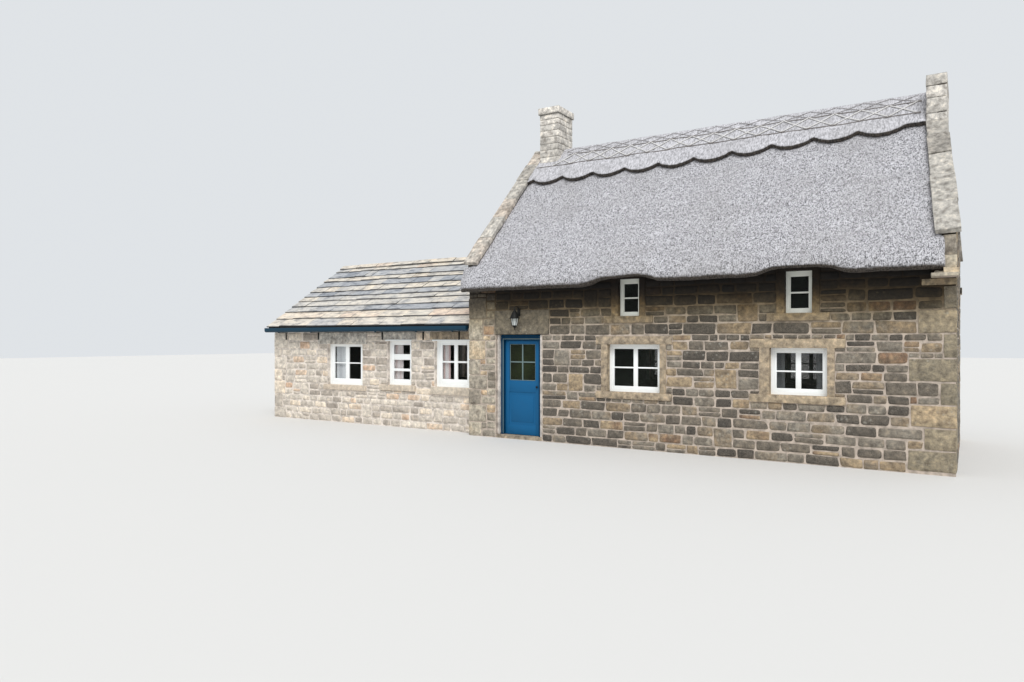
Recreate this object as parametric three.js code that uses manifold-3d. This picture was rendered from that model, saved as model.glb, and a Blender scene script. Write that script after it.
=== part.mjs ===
// A thatched stone cottage of one and a half storeys with a lower slate-roofed annex, in millimetres, +Z up.
// While it is built, x is 0 at the house's right-hand front corner and negative to the left,
// y is 0 on the house's front face and grows towards the back, and z is 0 at the foot of the walls.
import * as THREE from 'three';
import { mergeVertices } from 'three/addons/utils/BufferGeometryUtils.js';
import Module from 'manifold-3d';

const wasm = await Module();
wasm.setup();

// Driving dimensions
const GAP = 0.3;                    // between pieces that touch
const HOUSE = { length: 8760, depth: 4720, wall: 500 };
const FLOOR = { top: 60, upperUnder: 2180, upperTop: 2320 };

const DOOR = {
  left: -8035, right: -7057, head: 2080, stile: 75,   // outer edges of the frame
  face: 100, frameDepth: 100, leafThickness: 45,
  clearance: 5, latchClearance: 8,
  threshold: 68, splay: 53,                           // the doorway is wider than the frame by a splay each side
  lintelTop: 2612, lintelLeft: 35, lintelRight: 169,
  glassLeft: -7851, glassRight: -7242, glassFoot: 1183, glassHead: 1928,
};

const ROOF = {
  slope: 1.134,           // rise over run of the thatch and the copings
  copingTop: 3800,        // height of the coping's top plane where it crosses the front face
  copingThickness: 85,    // square to the slope
  thatchTop: 3650,        // the same height for the thatch's outer and inner planes
  thatchUnder: 3105,
  ridgeTop: 6415,
  ridgeBlock: 100,        // thickness of the raised ridge, square to the slope
};

const PARAPET = {
  thickness: 240, copingOut: 60, copingIn: 20,
  leanFrom: 3650, lean: 0.0987,   // above leanFrom the gables lean inwards by this much per unit of height
  endOut: 50,                     // the parapet's foot stands this far in front of the wall
  endFoot: 3280,
};

const ANNEX = {
  left: -15240, front: 300, depth: 5000, wall: 450,
  eaveY: 100, eaveTop: 2345, slope: 0.65, slateThickness: 70, ridgeTop: 4140,
  returnOverlap: 320,      // how far the return of the back wall runs along the house's gable
};
ANNEX.back = ANNEX.front + ANNEX.depth;
ANNEX.middle = ANNEX.front + ANNEX.depth / 2;

const GLASS = 6;
const WINDOW_RECESS = 110;
const WINDOW_DEPTH = 60;

const WHITE = new THREE.MeshStandardMaterial({ color: 0xf1f2ee, roughness: 0.45, metalness: 0 });
const CREAM = new THREE.MeshStandardMaterial({ color: 0xe9e2c8, roughness: 0.5, metalness: 0 });
const BLUE = new THREE.MeshStandardMaterial({ color: 0x10529a, roughness: 0.4, metalness: 0 });
const TEAL = new THREE.MeshStandardMaterial({ color: 0x16394a, roughness: 0.4, metalness: 0.1 });
const BLACK = new THREE.MeshStandardMaterial({ color: 0x15140f, roughness: 0.45, metalness: 0.6 });
const GRITSTONE = new THREE.MeshStandardMaterial({ color: 0x8d8474, roughness: 0.95, metalness: 0 });
const DRESSED = new THREE.MeshStandardMaterial({ color: 0xa8916c, roughness: 0.9, metalness: 0 });
const COPING = new THREE.MeshStandardMaterial({ color: 0xa9a294, roughness: 0.95, metalness: 0 });
const FLAGS = new THREE.MeshStandardMaterial({ color: 0x7d776c, roughness: 0.9, metalness: 0 });
const BOARDS = new THREE.MeshStandardMaterial({ color: 0x8a6a45, roughness: 0.7, metalness: 0 });
const THATCH = new THREE.MeshStandardMaterial({ color: 0xb9b3b6, roughness: 1, metalness: 0 });
const SLATE = new THREE.MeshStandardMaterial({ color: 0x8c877f, roughness: 0.9, metalness: 0 });
const PANE = new THREE.MeshStandardMaterial({
  color: 0x2b332e, roughness: 0.05, metalness: 0, transparent: true, opacity: 0.4,
});

// Closed bodies and booleans
function solid(geometry) {
  const bare = geometry.clone();
  bare.deleteAttribute('normal');
  bare.deleteAttribute('uv');
  const merged = mergeVertices(bare, 1e-3);
  const vertProperties = new Float32Array(merged.attributes.position.array);
  const triVerts = new Uint32Array(merged.index.array);
  return new wasm.Manifold(new wasm.Mesh({ numProp: 3, vertProperties, triVerts }));
}

function geometryOf(body) {
  const mesh = body.getMesh();
  const geometry = new THREE.BufferGeometry();
  geometry.setAttribute('position', new THREE.BufferAttribute(new Float32Array(mesh.vertProperties), 3));
  geometry.setIndex(new THREE.BufferAttribute(new Uint32Array(mesh.triVerts), 1));
  geometry.computeVertexNormals();
  return geometry;
}

function join(first, ...others) {
  return others.reduce((body, other) => body.add(other), first);
}

function cut(first, ...cutters) {
  return cutters.reduce((body, cutter) => body.subtract(cutter), first);
}

function block(x0, x1, y0, y1, z0, z1) {
  const geometry = new THREE.BoxGeometry(x1 - x0, y1 - y0, z1 - z0);
  geometry.translate((x0 + x1) / 2, (y0 + y1) / 2, (z0 + z1) / 2);
  return solid(geometry);
}

// A shape drawn in y and z, run along x from x0 to x1
function runAlongX(shape, x0, x1, steps = 1, curveSegments = 6) {
  const geometry = new THREE.ExtrudeGeometry(shape, {
    depth: x1 - x0, steps, curveSegments, bevelEnabled: false,
  });
  const toHouse = new THREE.Matrix4().makeBasis(
    new THREE.Vector3(0, 1, 0), new THREE.Vector3(0, 0, 1), new THREE.Vector3(1, 0, 0),
  );
  geometry.applyMatrix4(toHouse);
  geometry.translate(x0, 0, 0);
  return geometry;
}

function outline(points) {
  return new THREE.Shape(points.map(([y, z]) => new THREE.Vector2(y, z)));
}

function prism(points, x0, x1) {
  return solid(runAlongX(outline(points), x0, x1));
}

// Moves every vertex of a geometry by a function of its place
function reshape(geometry, move) {
  const position = geometry.attributes.position;
  const place = new THREE.Vector3();
  for (let i = 0; i < position.count; i += 1) {
    place.fromBufferAttribute(position, i);
    move(place);
    position.setXYZ(i, place.x, place.y, place.z);
  }
  return geometry;
}

// The same shape for the other side of the ridge, with its faces turned out again
function toBack(geometry, middle) {
  const flipped = mergeVertices(geometry.deleteAttribute('normal').deleteAttribute('uv'), 1e-3);
  reshape(flipped, (p) => { p.y = 2 * middle - p.y; });
  const index = flipped.index;
  for (let i = 0; i < index.count; i += 3) {
    const second = index.getX(i + 1);
    index.setX(i + 1, index.getX(i + 2));
    index.setX(i + 2, second);
  }
  return flipped;
}

const group = new THREE.Group();

function add(name, body, material) {
  const mesh = new THREE.Mesh(geometryOf(body), material);
  mesh.name = name;
  group.add(mesh);
  return body;
}

// Gables: the walls with their kneelers and parapets, each side a mirror of the other but for its details
const RIDGE_Y = HOUSE.depth / 2;
const LEFT = { outer: -HOUSE.length, inwards: 1 };
const RIGHT = { outer: 0, inwards: -1 };

function acrossGable(gable, from, to) {
  const a = gable.outer + gable.inwards * from;
  const b = gable.outer + gable.inwards * to;
  return [Math.min(a, b), Math.max(a, b)];
}

function leanIn(geometry, gable) {
  return reshape(geometry, (p) => {
    p.x += gable.inwards * PARAPET.lean * (p.z - PARAPET.leanFrom);
  });
}

// Heights of a plane that rises from both sides to the ridge
function risen(base, y) {
  return base + ROOF.slope * Math.min(y, HOUSE.depth - y);
}

const upright = Math.hypot(1, ROOF.slope);
const copingUnder = ROOF.copingTop - ROOF.copingThickness * upright;

const RIGHT_STACK = { front: 1722, out: 170, in: 447, neck: 6325, top: 6510, cap: 12 };
RIGHT_STACK.foot = risen(copingUnder, RIGHT_STACK.front);
const LEFT_STACK = { front: 2020, out: 560, in: 1020, foot: FLOOR.top, neck: 7180, top: 7330, cap: 35 };

function stackEnds(stack) {
  return [stack.front, HOUSE.depth - stack.front];
}

const PARAPET_FOOT_Z = risen(copingUnder, -PARAPET.endOut);

// The parapet's section: up to the coping's underside, and flat where a stack stands on it
function parapet(gable, flatAt) {
  const y0 = -PARAPET.endOut;
  const y1 = HOUSE.depth + PARAPET.endOut;
  const [x0, x1] = acrossGable(gable, 0, PARAPET.thickness);
  const base = PARAPET.leanFrom;
  const baseY = (base - copingUnder) / ROOF.slope;
  const lower = prism([[y0, PARAPET.endFoot], [y1, PARAPET.endFoot], [y1, PARAPET_FOOT_Z],
    [HOUSE.depth - baseY, base], [baseY, base], [y0, PARAPET_FOOT_Z]], x0, x1);
  const flatY = Math.min((flatAt - copingUnder) / ROOF.slope, RIDGE_Y);
  const top = flatY < RIDGE_Y
    ? [[HOUSE.depth - flatY, flatAt], [flatY, flatAt]]
    : [[RIDGE_Y, risen(copingUnder, RIDGE_Y)]];
  const upperOutline = outline([[baseY, base], [HOUSE.depth - baseY, base], ...top]);
  return join(lower, solid(leanIn(runAlongX(upperOutline, x0, x1), gable)));
}

// Everything over the parapet, to keep the thatch clear of it
function parapetZone(gable, inner, y0, y1) {
  const [x0, x1] = acrossGable(gable, -600, inner);
  const base = PARAPET.leanFrom;
  const lower = prism([[y0, 2600], [y1, 2600], [y1, base], [y0, base]], x0, x1);
  const upper = solid(leanIn(runAlongX(outline([[y0, base], [y1, base], [y1, 8000], [y0, 8000]]), x0, x1), gable));
  return join(lower, upper);
}

// Corbelled stones under the parapet's foot, grown by a margin where they cut the thatch
const KNEELERS = [
  { out: 360, from: -40, to: 306, foot: 2935, top: 2987 },
  { out: 200, from: 0, to: 270, foot: 2975, top: 3045 },
  { out: 300, from: -40, to: 150, foot: 2985, top: 3064 },
  { out: 140, from: -10, to: 160, foot: 3055, top: 3255 },
];

function kneelerStones(gable, margin = 0) {
  return KNEELERS.flatMap((stone) => {
    const [x0, x1] = acrossGable(gable, stone.from - margin, stone.to + margin);
    const front = [-stone.out - margin, 60];
    const back = [HOUSE.depth - 60, HOUSE.depth + stone.out + margin];
    return [front, back].map(([y0, y1]) => block(x0, x1, y0, y1, stone.foot - margin, stone.top + margin));
  });
}

// Thatch: one section run along the house, lifted over the upper windows
const FRONT_EYEBROWS = [{ middle: -5170, half: 760, rise: 165 }, { middle: -2120, half: 760, rise: 160 }];
const BACK_EYEBROWS = [{ middle: -4380, half: 760, rise: 165 }];
const THATCH_LEFT = -8835;
const THATCH_RIGHT = -140;
const THATCH_STEPS = 46;

function smooth(t) {
  const u = Math.min(1, Math.max(0, t));
  return u * u * (3 - 2 * u);
}

function lift(x, eyebrows) {
  const settled = -38 + 58 * smooth((x + 6000) / 1800);
  return eyebrows.reduce((sum, e) => sum + e.rise * smooth((1 - Math.abs(x - e.middle) / e.half) / 0.55), settled);
}

function thatchSection() {
  const outer = (y) => ROOF.thatchTop + ROOF.slope * y;
  const under = (y) => ROOF.thatchUnder + ROOF.slope * y;
  const shape = new THREE.Shape();
  const ridge = RIDGE_Y - GAP / 2;
  shape.moveTo(ridge, under(ridge));
  shape.lineTo(ridge, outer(ridge));
  [1500, 900, 450, 100, -140].forEach((y) => shape.lineTo(y, outer(y)));
  shape.bezierCurveTo(-265, outer(-265), -385, 3210, -368, 3105);
  shape.bezierCurveTo(-360, 3045, -320, 3018, -250, 3032);
  shape.lineTo(-60, 3082);
  [60, 260, 480, 800].forEach((y) => shape.lineTo(y, under(y)));
  return shape;
}

function thatchSide(eyebrows) {
  const geometry = runAlongX(thatchSection(), THATCH_LEFT, THATCH_RIGHT, THATCH_STEPS, 5);
  return reshape(geometry, (p) => {
    const span = ROOF.thatchTop - ROOF.thatchUnder;
    const height = THREE.MathUtils.clamp((p.z - ROOF.thatchUnder - ROOF.slope * p.y) / span, 0, 1);
    const underShare = 1 - smooth((p.y - 280) / 520);
    const outerShare = 0.4 * (1 - smooth((p.y + 150) / 1100));
    const raised = lift(p.x, eyebrows) * THREE.MathUtils.lerp(underShare, outerShare, height);
    const toEnd = Math.min(p.x - THATCH_LEFT, THATCH_RIGHT - p.x);
    const round = 0.55 + 0.45 * Math.sqrt(Math.min(1, toEnd / 180));
    p.z += raised;
    if (p.y < -60) {
      p.y = -60 + (p.y + 60) * round;
    }
  });
}

const leftStackHole = () => {
  const [x0, x1] = acrossGable(LEFT, LEFT_STACK.out - 0.5, LEFT_STACK.in + 0.5);
  const [y0, y1] = stackEnds(LEFT_STACK);
  return block(x0, x1, y0 - 0.5, y1 + 0.5, 0, 8000);
};

const rightStackHole = () => {
  const [x0, x1] = acrossGable(RIGHT, RIGHT_STACK.out - 50, RIGHT_STACK.in + 0.5);
  const [y0, y1] = stackEnds(RIGHT_STACK);
  return block(x0, x1, y0 - 0.5, y1 + 0.5, RIGHT_STACK.foot - GAP, 8000);
};

const zoneY = [-PARAPET.endOut - 0.5, HOUSE.depth + PARAPET.endOut + 0.5];
const thatchCutters = [
  parapetZone(LEFT, PARAPET.thickness + 0.5, ...zoneY),
  parapetZone(RIGHT, PARAPET.thickness + 0.5, ...zoneY),
  ...kneelerStones(RIGHT, 0.5),
  leftStackHole(),
  rightStackHole(),
];
const thatchFront = add('thatch_front', cut(solid(thatchSide(FRONT_EYEBROWS)), ...thatchCutters), THATCH);
const thatchBack = add('thatch_back', cut(solid(toBack(thatchSide(BACK_EYEBROWS), RIDGE_Y)), ...thatchCutters), THATCH);

// A body with the thatch, and a hair round it, taken off
function underThatch(body) {
  const moves = [[0, 0, 0], [0, 0, -0.5], [0.4, 0, -0.2], [-0.4, 0, -0.2]];
  return cut(body, ...moves.flatMap((move) => [thatchFront.translate(move), thatchBack.translate(move)]));
}

// Raised ridge with a scalloped lower edge on both sides
const SCALLOP = { pitch: 740, from: -775, perScallop: 6, lobe: 112, cuspRight: 1718, cuspLeft: 1632, undercut: 72 };

function scallopEdge(x) {
  const across = Math.abs(Math.sin((Math.PI * (x - SCALLOP.from)) / SCALLOP.pitch));
  const cusp = THREE.MathUtils.lerp(SCALLOP.cuspLeft, SCALLOP.cuspRight, smooth((x + 5200) / 3400));
  return x < SCALLOP.from ? cusp - SCALLOP.lobe * across ** 0.75 : cusp;
}

function ridgeBody() {
  const under = (y) => risen(ROOF.thatchTop, y) + GAP;
  const rise = ROOF.ridgeBlock * upright;
  const edge = 1000;
  const foot = edge + SCALLOP.undercut;
  const half = [[foot, under(foot)], [edge, under(edge) + rise * 0.93], [edge + 12, under(edge + 12) + rise],
    [2150, under(2150) + rise], [2270, ROOF.ridgeTop - 62]];
  const otherHalf = half.map(([y, z]) => [HOUSE.depth - y, z]).reverse();
  const points = [...half, [RIDGE_Y, ROOF.ridgeTop], ...otherHalf, [RIDGE_Y, under(RIDGE_Y)]];
  const first = SCALLOP.from - SCALLOP.pitch * 11;
  const last = SCALLOP.from + SCALLOP.pitch;
  const geometry = runAlongX(outline(points), first, last, 12 * SCALLOP.perScallop);
  reshape(geometry, (p) => {
    const y = Math.min(p.y, HOUSE.depth - p.y);
    if (y <= foot + 1) {
      const moved = scallopEdge(p.x) - edge;
      p.y += p.y < RIDGE_Y ? moved : -moved;
      p.z += ROOF.slope * moved;
    }
  });
  const [leftEnd, rightEnd] = [LEFT, RIGHT].map((gable) => parapetZone(
    gable, PARAPET.thickness + PARAPET.copingIn + 0.5, -1000, HOUSE.depth + 1000,
  ));
  const [stackY0, stackY1] = stackEnds(RIGHT_STACK);
  const toStack = RIGHT.outer - RIGHT_STACK.in - RIGHT_STACK.cap - 0.5;
  const besideStack = block(-900, toStack, stackY0, stackY1, RIGHT_STACK.foot - 100, 8000);
  return cut(solid(geometry), leftEnd, cut(rightEnd, besideStack), leftStackHole(), rightStackHole());
}
add('thatch_ridge', ridgeBody(), THATCH);

// Gable walls
const ANNEX_DOORWAY = { front: 3100, back: 3900, head: 1990 };

function gableWall(gable, flatAt, extras) {
  const [x0, x1] = acrossGable(gable, 0, HOUSE.wall);
  const [leafX0, leafX1] = acrossGable(gable, PARAPET.thickness - 5, HOUSE.wall);
  const base = PARAPET.leanFrom;
  const inLeaf = ROOF.thatchUnder + 90;
  const leafFoot = (base - inLeaf) / ROOF.slope;
  const wall = prism([[0, 0], [HOUSE.depth, 0], [HOUSE.depth, inLeaf], [HOUSE.depth - leafFoot, base],
    [leafFoot, base], [0, inLeaf]], x0, x1);
  const leaf = prism([[leafFoot, base], [HOUSE.depth - leafFoot, base], [RIDGE_Y, risen(inLeaf, RIDGE_Y)]],
    leafX0, leafX1);
  return underThatch(join(wall, leaf, parapet(gable, flatAt), ...extras));
}

const doorwayToAnnex = block(LEFT.outer - 100, LEFT.outer + HOUSE.wall + 100,
  ANNEX_DOORWAY.front, ANNEX_DOORWAY.back, FLOOR.top, ANNEX_DOORWAY.head);
const leftGable = cut(gableWall(LEFT, Infinity, []), doorwayToAnnex, leftStackHole());
add('left_gable_wall', leftGable, GRITSTONE);
const rightGable = gableWall(RIGHT, RIGHT_STACK.foot - GAP, kneelerStones(RIGHT));
add('right_gable_wall', cut(rightGable, rightStackHole()), GRITSTONE);

// Coping slabs, one run on each slope of each gable
function copingRun(gable, upper) {
  const [x0, x1] = acrossGable(gable, -PARAPET.copingOut, PARAPET.thickness + PARAPET.copingIn);
  const top = (y) => ROOF.copingTop + ROOF.slope * y;
  const under = (y) => copingUnder + GAP * upright + ROOF.slope * y;
  const foot = -PARAPET.endOut - 100;
  return leanIn(runAlongX(outline([[foot, under(foot)], [upper, under(upper)], [upper, top(upper)],
    [foot, top(foot)]]), x0, x1), gable);
}

const COPING_TOPS = [
  ['left', LEFT, RIDGE_Y - GAP / 2],
  ['right', RIGHT, RIGHT_STACK.front - GAP],
];
COPING_TOPS.forEach(([side, gable, upper]) => {
  add(`${side}_coping_front`, solid(copingRun(gable, upper)), COPING);
  add(`${side}_coping_back`, solid(toBack(copingRun(gable, upper), RIDGE_Y)), COPING);
});

// Chimneys
function stackBody(gable, stack) {
  const [x0, x1] = acrossGable(gable, stack.out, stack.in);
  const [capX0, capX1] = acrossGable(gable, stack.out - stack.cap, stack.in + stack.cap);
  const [y0, y1] = stackEnds(stack);
  return join(
    block(x0, x1, y0, y1, stack.foot, stack.neck + 1),
    block(capX0, capX1, y0 - stack.cap, y1 + stack.cap, stack.neck, stack.top),
  );
}
add('left_chimney', stackBody(LEFT, LEFT_STACK), GRITSTONE);
add('right_gable_stack', stackBody(RIGHT, RIGHT_STACK), GRITSTONE);

// Windows: each has a frame and a pane, and the front ones of the house a surround of dressed stone
const FRONT_WINDOWS = [
  { name: 'lower_left', left: -5586, right: -4550, foot: 1045, head: 1930, jambs: [120, 115], horn: 110, paint: WHITE },
  { name: 'lower_right', left: -2646, right: -1752, foot: 1105, head: 1882, jambs: [160, 108], horn: 160, paint: WHITE },
  { name: 'upper_left', left: -5370, right: -4945, foot: 2455, head: 3145, jambs: [125, 112], horn: 150, paint: CREAM },
  { name: 'upper_right', left: -2407, right: -1980, foot: 2455, head: 3145, jambs: [125, 112], horn: 150, paint: CREAM },
];
const BACK_WINDOWS = [
  { name: 'back_lower_left', left: -6500, right: -5464, foot: 1045, head: 1905, paint: WHITE },
  { name: 'back_lower_right', left: -3300, right: -2264, foot: 1045, head: 1905, paint: WHITE },
  { name: 'back_upper', left: -4583, right: -4178, foot: 2460, head: 3150, paint: CREAM },
];
const ANNEX_WINDOWS = [
  { name: 'annex_left', left: -13284, right: -12125, foot: 912, head: 1906, paint: WHITE },
  { name: 'annex_middle', left: -11325, right: -10612, foot: 965, head: 1985, paint: WHITE },
  { name: 'annex_right', left: -9930, right: -8957, foot: 965, head: 1987, paint: WHITE },
];
const ANNEX_BACK_WINDOWS = [
  { name: 'annex_back', left: -12600, right: -11500, foot: 912, head: 1906, paint: WHITE },
];
const STILE = 55;
const SURROUND_OUT = 18;
const SURROUND_DEPTH = 250;
const LINTEL = { lower: 150, upper: 100 };
const SILL = 125;

function windowHole(w, y0, y1, margin = GAP) {
  return block(w.left - margin, w.right + margin, y0, y1, w.foot - margin, w.head + margin);
}

// The frame stands between y0 and y1, and the pane in the middle of it
function glazed(w, y0, y1) {
  const inner = { left: w.left + STILE, right: w.right - STILE, foot: w.foot + STILE, head: w.head - STILE };
  const frame = cut(windowHole(w, y0, y1, 0), windowHole(inner, y0 - 10, y1 + 10, 0));
  add(`${w.name}_window_frame`, frame, w.paint);
  const middle = (y0 + y1) / 2;
  add(`${w.name}_window_glass`, windowHole(inner, middle - GLASS / 2, middle + GLASS / 2, -GAP), PANE);
}

// Jambs, lintel and sill as one block, grown by a margin where it cuts the wall
function surroundBlock(w, y0, y1, margin = 0) {
  const [left, right] = [w.left - w.jambs[0] - margin, w.right + w.jambs[1] + margin];
  const upper = w.name.startsWith('upper');
  const horned = [left - w.horn, right + w.horn];
  return join(
    block(left, right, y0, y1, w.foot - 5, w.head + 5),
    block(...(upper ? [left, right] : horned), y0, y1, w.head - margin, w.head + (upper ? LINTEL.upper : LINTEL.lower) + margin),
    block(...horned, y0 - (margin ? 0 : 12), y1, w.foot - SILL - margin, w.foot + margin),
  );
}

function surround(w) {
  return cut(surroundBlock(w, -SURROUND_OUT, SURROUND_DEPTH), windowHole(w, -200, SURROUND_DEPTH + 100));
}

// Front wall of the house, in three pieces round the doorway
const inside = [LEFT.outer + HOUSE.wall + GAP, RIGHT.outer - HOUSE.wall - GAP];
const doorway = [DOOR.left - DOOR.splay, DOOR.right + DOOR.splay];
const wallTop = ROOF.thatchUnder + 200;

function frontWallPiece(x0, x1, foot) {
  const top = (y) => wallTop + ROOF.slope * y;
  return prism([[0, foot], [HOUSE.wall, foot], [HOUSE.wall, top(HOUSE.wall)], [0, top(0)]], x0, x1);
}

const lintelX = [doorway[0] - DOOR.lintelLeft, doorway[1] + DOOR.lintelRight];
const lintelZ = [DOOR.head + 40, DOOR.lintelTop];
const lintelHole = block(lintelX[0] - GAP, lintelX[1] + GAP, -100, 260 + GAP, lintelZ[0] - GAP, lintelZ[1] + GAP);
add('door_lintel', block(...lintelX, -SURROUND_OUT, 260, ...lintelZ), DRESSED);
add('front_wall_left', cut(underThatch(frontWallPiece(inside[0], doorway[0], 0)), lintelHole), GRITSTONE);
add('front_wall_over_door', cut(
  underThatch(frontWallPiece(doorway[0] + GAP, doorway[1] - GAP, DOOR.head + 40)),
  lintelHole,
), GRITSTONE);

const surroundHoles = FRONT_WINDOWS.map((w) => surroundBlock(w, -200, HOUSE.wall + 200, GAP));
add('front_wall_right', cut(
  underThatch(frontWallPiece(doorway[1], inside[1], 0)),
  lintelHole,
  ...surroundHoles,
), GRITSTONE);
FRONT_WINDOWS.forEach((w) => {
  add(`${w.name}_window_surround`, underThatch(surround(w)), DRESSED);
  glazed(w, WINDOW_RECESS, WINDOW_RECESS + WINDOW_DEPTH);
});

// Back wall of the house
const backWall = solid(toBack(runAlongX(outline([
  [0, 0], [HOUSE.wall, 0], [HOUSE.wall, wallTop + ROOF.slope * HOUSE.wall], [0, wallTop],
]), ...inside), RIDGE_Y));
const backHoles = BACK_WINDOWS.map((w) => windowHole(w, HOUSE.depth - HOUSE.wall - 100, HOUSE.depth + 100));
add('back_wall', cut(underThatch(backWall), ...backHoles), GRITSTONE);
BACK_WINDOWS.forEach((w) => glazed(
  w, HOUSE.depth - WINDOW_RECESS - WINDOW_DEPTH, HOUSE.depth - WINDOW_RECESS,
));

// Floors
const roomY = [HOUSE.wall + GAP, HOUSE.depth - HOUSE.wall - GAP];
const breast = leftStackHole();
add('ground_floor', cut(block(...inside, ...roomY, 0, FLOOR.top), breast), FLAGS);
add('upper_floor', cut(block(...inside, ...roomY, FLOOR.upperUnder, FLOOR.upperTop), breast), BOARDS);

// Front door: threshold, frame with two hinge barrels, leaf with its knuckles, glass and handle
const reveal = [doorway[0] + GAP, doorway[1] - GAP];
add('door_threshold', block(...reveal, 0, HOUSE.wall, 0, DOOR.threshold), DRESSED);

const frameBack = DOOR.face + DOOR.frameDepth;
const leaf = {
  left: DOOR.left + DOOR.stile + DOOR.clearance,
  right: DOOR.right - DOOR.stile - DOOR.latchClearance,
  foot: DOOR.threshold + DOOR.clearance + 3,
  head: DOOR.head - DOOR.stile - DOOR.clearance,
  face: frameBack - DOOR.leafThickness,
};
const HINGE = { radius: 9, x: leaf.left - DOOR.clearance / 2, y: frameBack + 10, length: 45, feet: [330, 1680] };

function barrel(z0, z1) {
  const geometry = new THREE.CylinderGeometry(HINGE.radius, HINGE.radius, z1 - z0, 16);
  geometry.rotateX(Math.PI / 2);
  geometry.translate(HINGE.x, HINGE.y, (z0 + z1) / 2);
  return solid(geometry);
}

const openingInFrame = block(DOOR.left + DOOR.stile, DOOR.right - DOOR.stile, 0, HOUSE.wall,
  0, DOOR.head - DOOR.stile);
const frameBlank = block(DOOR.left, DOOR.right, DOOR.face, frameBack, DOOR.threshold + GAP, DOOR.head);
const frameHinges = HINGE.feet.flatMap((z) => [
  barrel(z, z + HINGE.length),
  block(HINGE.x - 40, HINGE.x, frameBack - 2, frameBack + 4, z, z + HINGE.length),
]);
add('door_frame', join(cut(frameBlank, openingInFrame), ...frameHinges), BLUE);

const leafHinges = HINGE.feet.flatMap((z) => {
  const z0 = z + HINGE.length + GAP;
  return [
    barrel(z0, z0 + HINGE.length),
    block(HINGE.x, HINGE.x + 40, frameBack - 2, frameBack + 4, z0, z0 + HINGE.length),
  ];
});
const glassHole = block(DOOR.glassLeft, DOOR.glassRight, 0, HOUSE.wall, DOOR.glassFoot, DOOR.glassHead);
add('door_leaf', join(
  cut(block(leaf.left, leaf.right, leaf.face, frameBack, leaf.foot, leaf.head), glassHole),
  ...leafHinges,
), BLUE);
const leafMiddle = leaf.face + DOOR.leafThickness / 2;
add('door_glass', block(DOOR.glassLeft + GAP, DOOR.glassRight - GAP, leafMiddle - GLASS / 2,
  leafMiddle + GLASS / 2, DOOR.glassFoot + GAP, DOOR.glassHead - GAP), PANE);

const HANDLE = { x: leaf.right - 52, z: 1060, plate: [34, 150], knob: 24, reach: 48 };
function handle() {
  const plate = block(HANDLE.x - HANDLE.plate[0] / 2, HANDLE.x + HANDLE.plate[0] / 2,
    leaf.face - GAP - 4, leaf.face - GAP, HANDLE.z - HANDLE.plate[1] / 2, HANDLE.z + HANDLE.plate[1] / 2);
  const profile = [[0, 0], [9, 0], [9, 18], [HANDLE.knob * 0.8, 24], [HANDLE.knob, 34],
    [HANDLE.knob * 0.75, 44], [0, HANDLE.reach]].map(([r, h]) => new THREE.Vector2(r, h));
  const knob = new THREE.LatheGeometry(profile, 16);
  knob.rotateX(Math.PI);
  knob.translate(HANDLE.x, leaf.face - GAP - 2, HANDLE.z);
  return join(plate, solid(knob));
}
add('door_handle', handle(), BLACK);

// Wall lantern over the door
const LANTERN = { x: -7525, out: 165, plateZ: [2490, 2645], roofTop: 2625, roofFoot: 2462, glassFoot: 2300, tip: 2212 };
function lantern() {
  const front = -SURROUND_OUT - GAP;
  const sides = 6;
  const profile = [[0, LANTERN.tip], [12, LANTERN.tip + 14], [14, LANTERN.glassFoot - 30], [52, LANTERN.glassFoot - 12],
    [54, LANTERN.glassFoot], [82, LANTERN.roofFoot], [110, LANTERN.roofFoot + 8], [84, LANTERN.roofFoot + 60],
    [30, LANTERN.roofTop - 50], [24, LANTERN.roofTop - 18], [0, LANTERN.roofTop]];
  const body = new THREE.LatheGeometry(profile.map(([r, z]) => new THREE.Vector2(r, z)), sides);
  body.rotateX(Math.PI / 2);
  body.translate(LANTERN.x, front - LANTERN.out, 0);
  const arm = new THREE.CatmullRomCurve3([
    new THREE.Vector3(LANTERN.x, front - 4, LANTERN.plateZ[1] - 30),
    new THREE.Vector3(LANTERN.x, front - 60, LANTERN.plateZ[1] + 25),
    new THREE.Vector3(LANTERN.x, front - LANTERN.out + 30, LANTERN.plateZ[1] + 25),
    new THREE.Vector3(LANTERN.x, front - LANTERN.out, LANTERN.roofTop - 14),
  ]);
  const round = new THREE.Shape().absarc(0, 0, 9, 0, Math.PI * 2);
  const bar = new THREE.ExtrudeGeometry(round, { steps: 14, extrudePath: arm, curveSegments: 4 });
  const plate = block(LANTERN.x - 30, LANTERN.x + 30, front - 12, front, ...LANTERN.plateZ);
  return join(plate, solid(bar), solid(body));
}
add('wall_lantern', lantern(), BLACK);

// Annex walls and floor
const annexTop = (y) => ANNEX.eaveTop + ANNEX.slope * (Math.min(y, 2 * ANNEX.middle - y) - ANNEX.eaveY);
const slateDrop = ANNEX.slateThickness * Math.hypot(1, ANNEX.slope);
const annexUnder = (y) => annexTop(y) - slateDrop - GAP;
const annexRight = LEFT.outer - GAP;
const annexInner = [ANNEX.left + ANNEX.wall + GAP, annexRight];
const frontY = [ANNEX.front, ANNEX.front + ANNEX.wall];
const backY = [ANNEX.back - ANNEX.wall, ANNEX.back];

function annexLongWall([y0, y1], windows) {
  const wall = prism([[y0, 0], [y1, 0], [y1, annexUnder(y1)], [y0, annexUnder(y0)]], ...annexInner);
  return cut(wall, ...windows.map((w) => windowHole(w, y0 - 100, y1 + 100)));
}
add('annex_front_wall', annexLongWall(frontY, ANNEX_WINDOWS), GRITSTONE);
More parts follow.
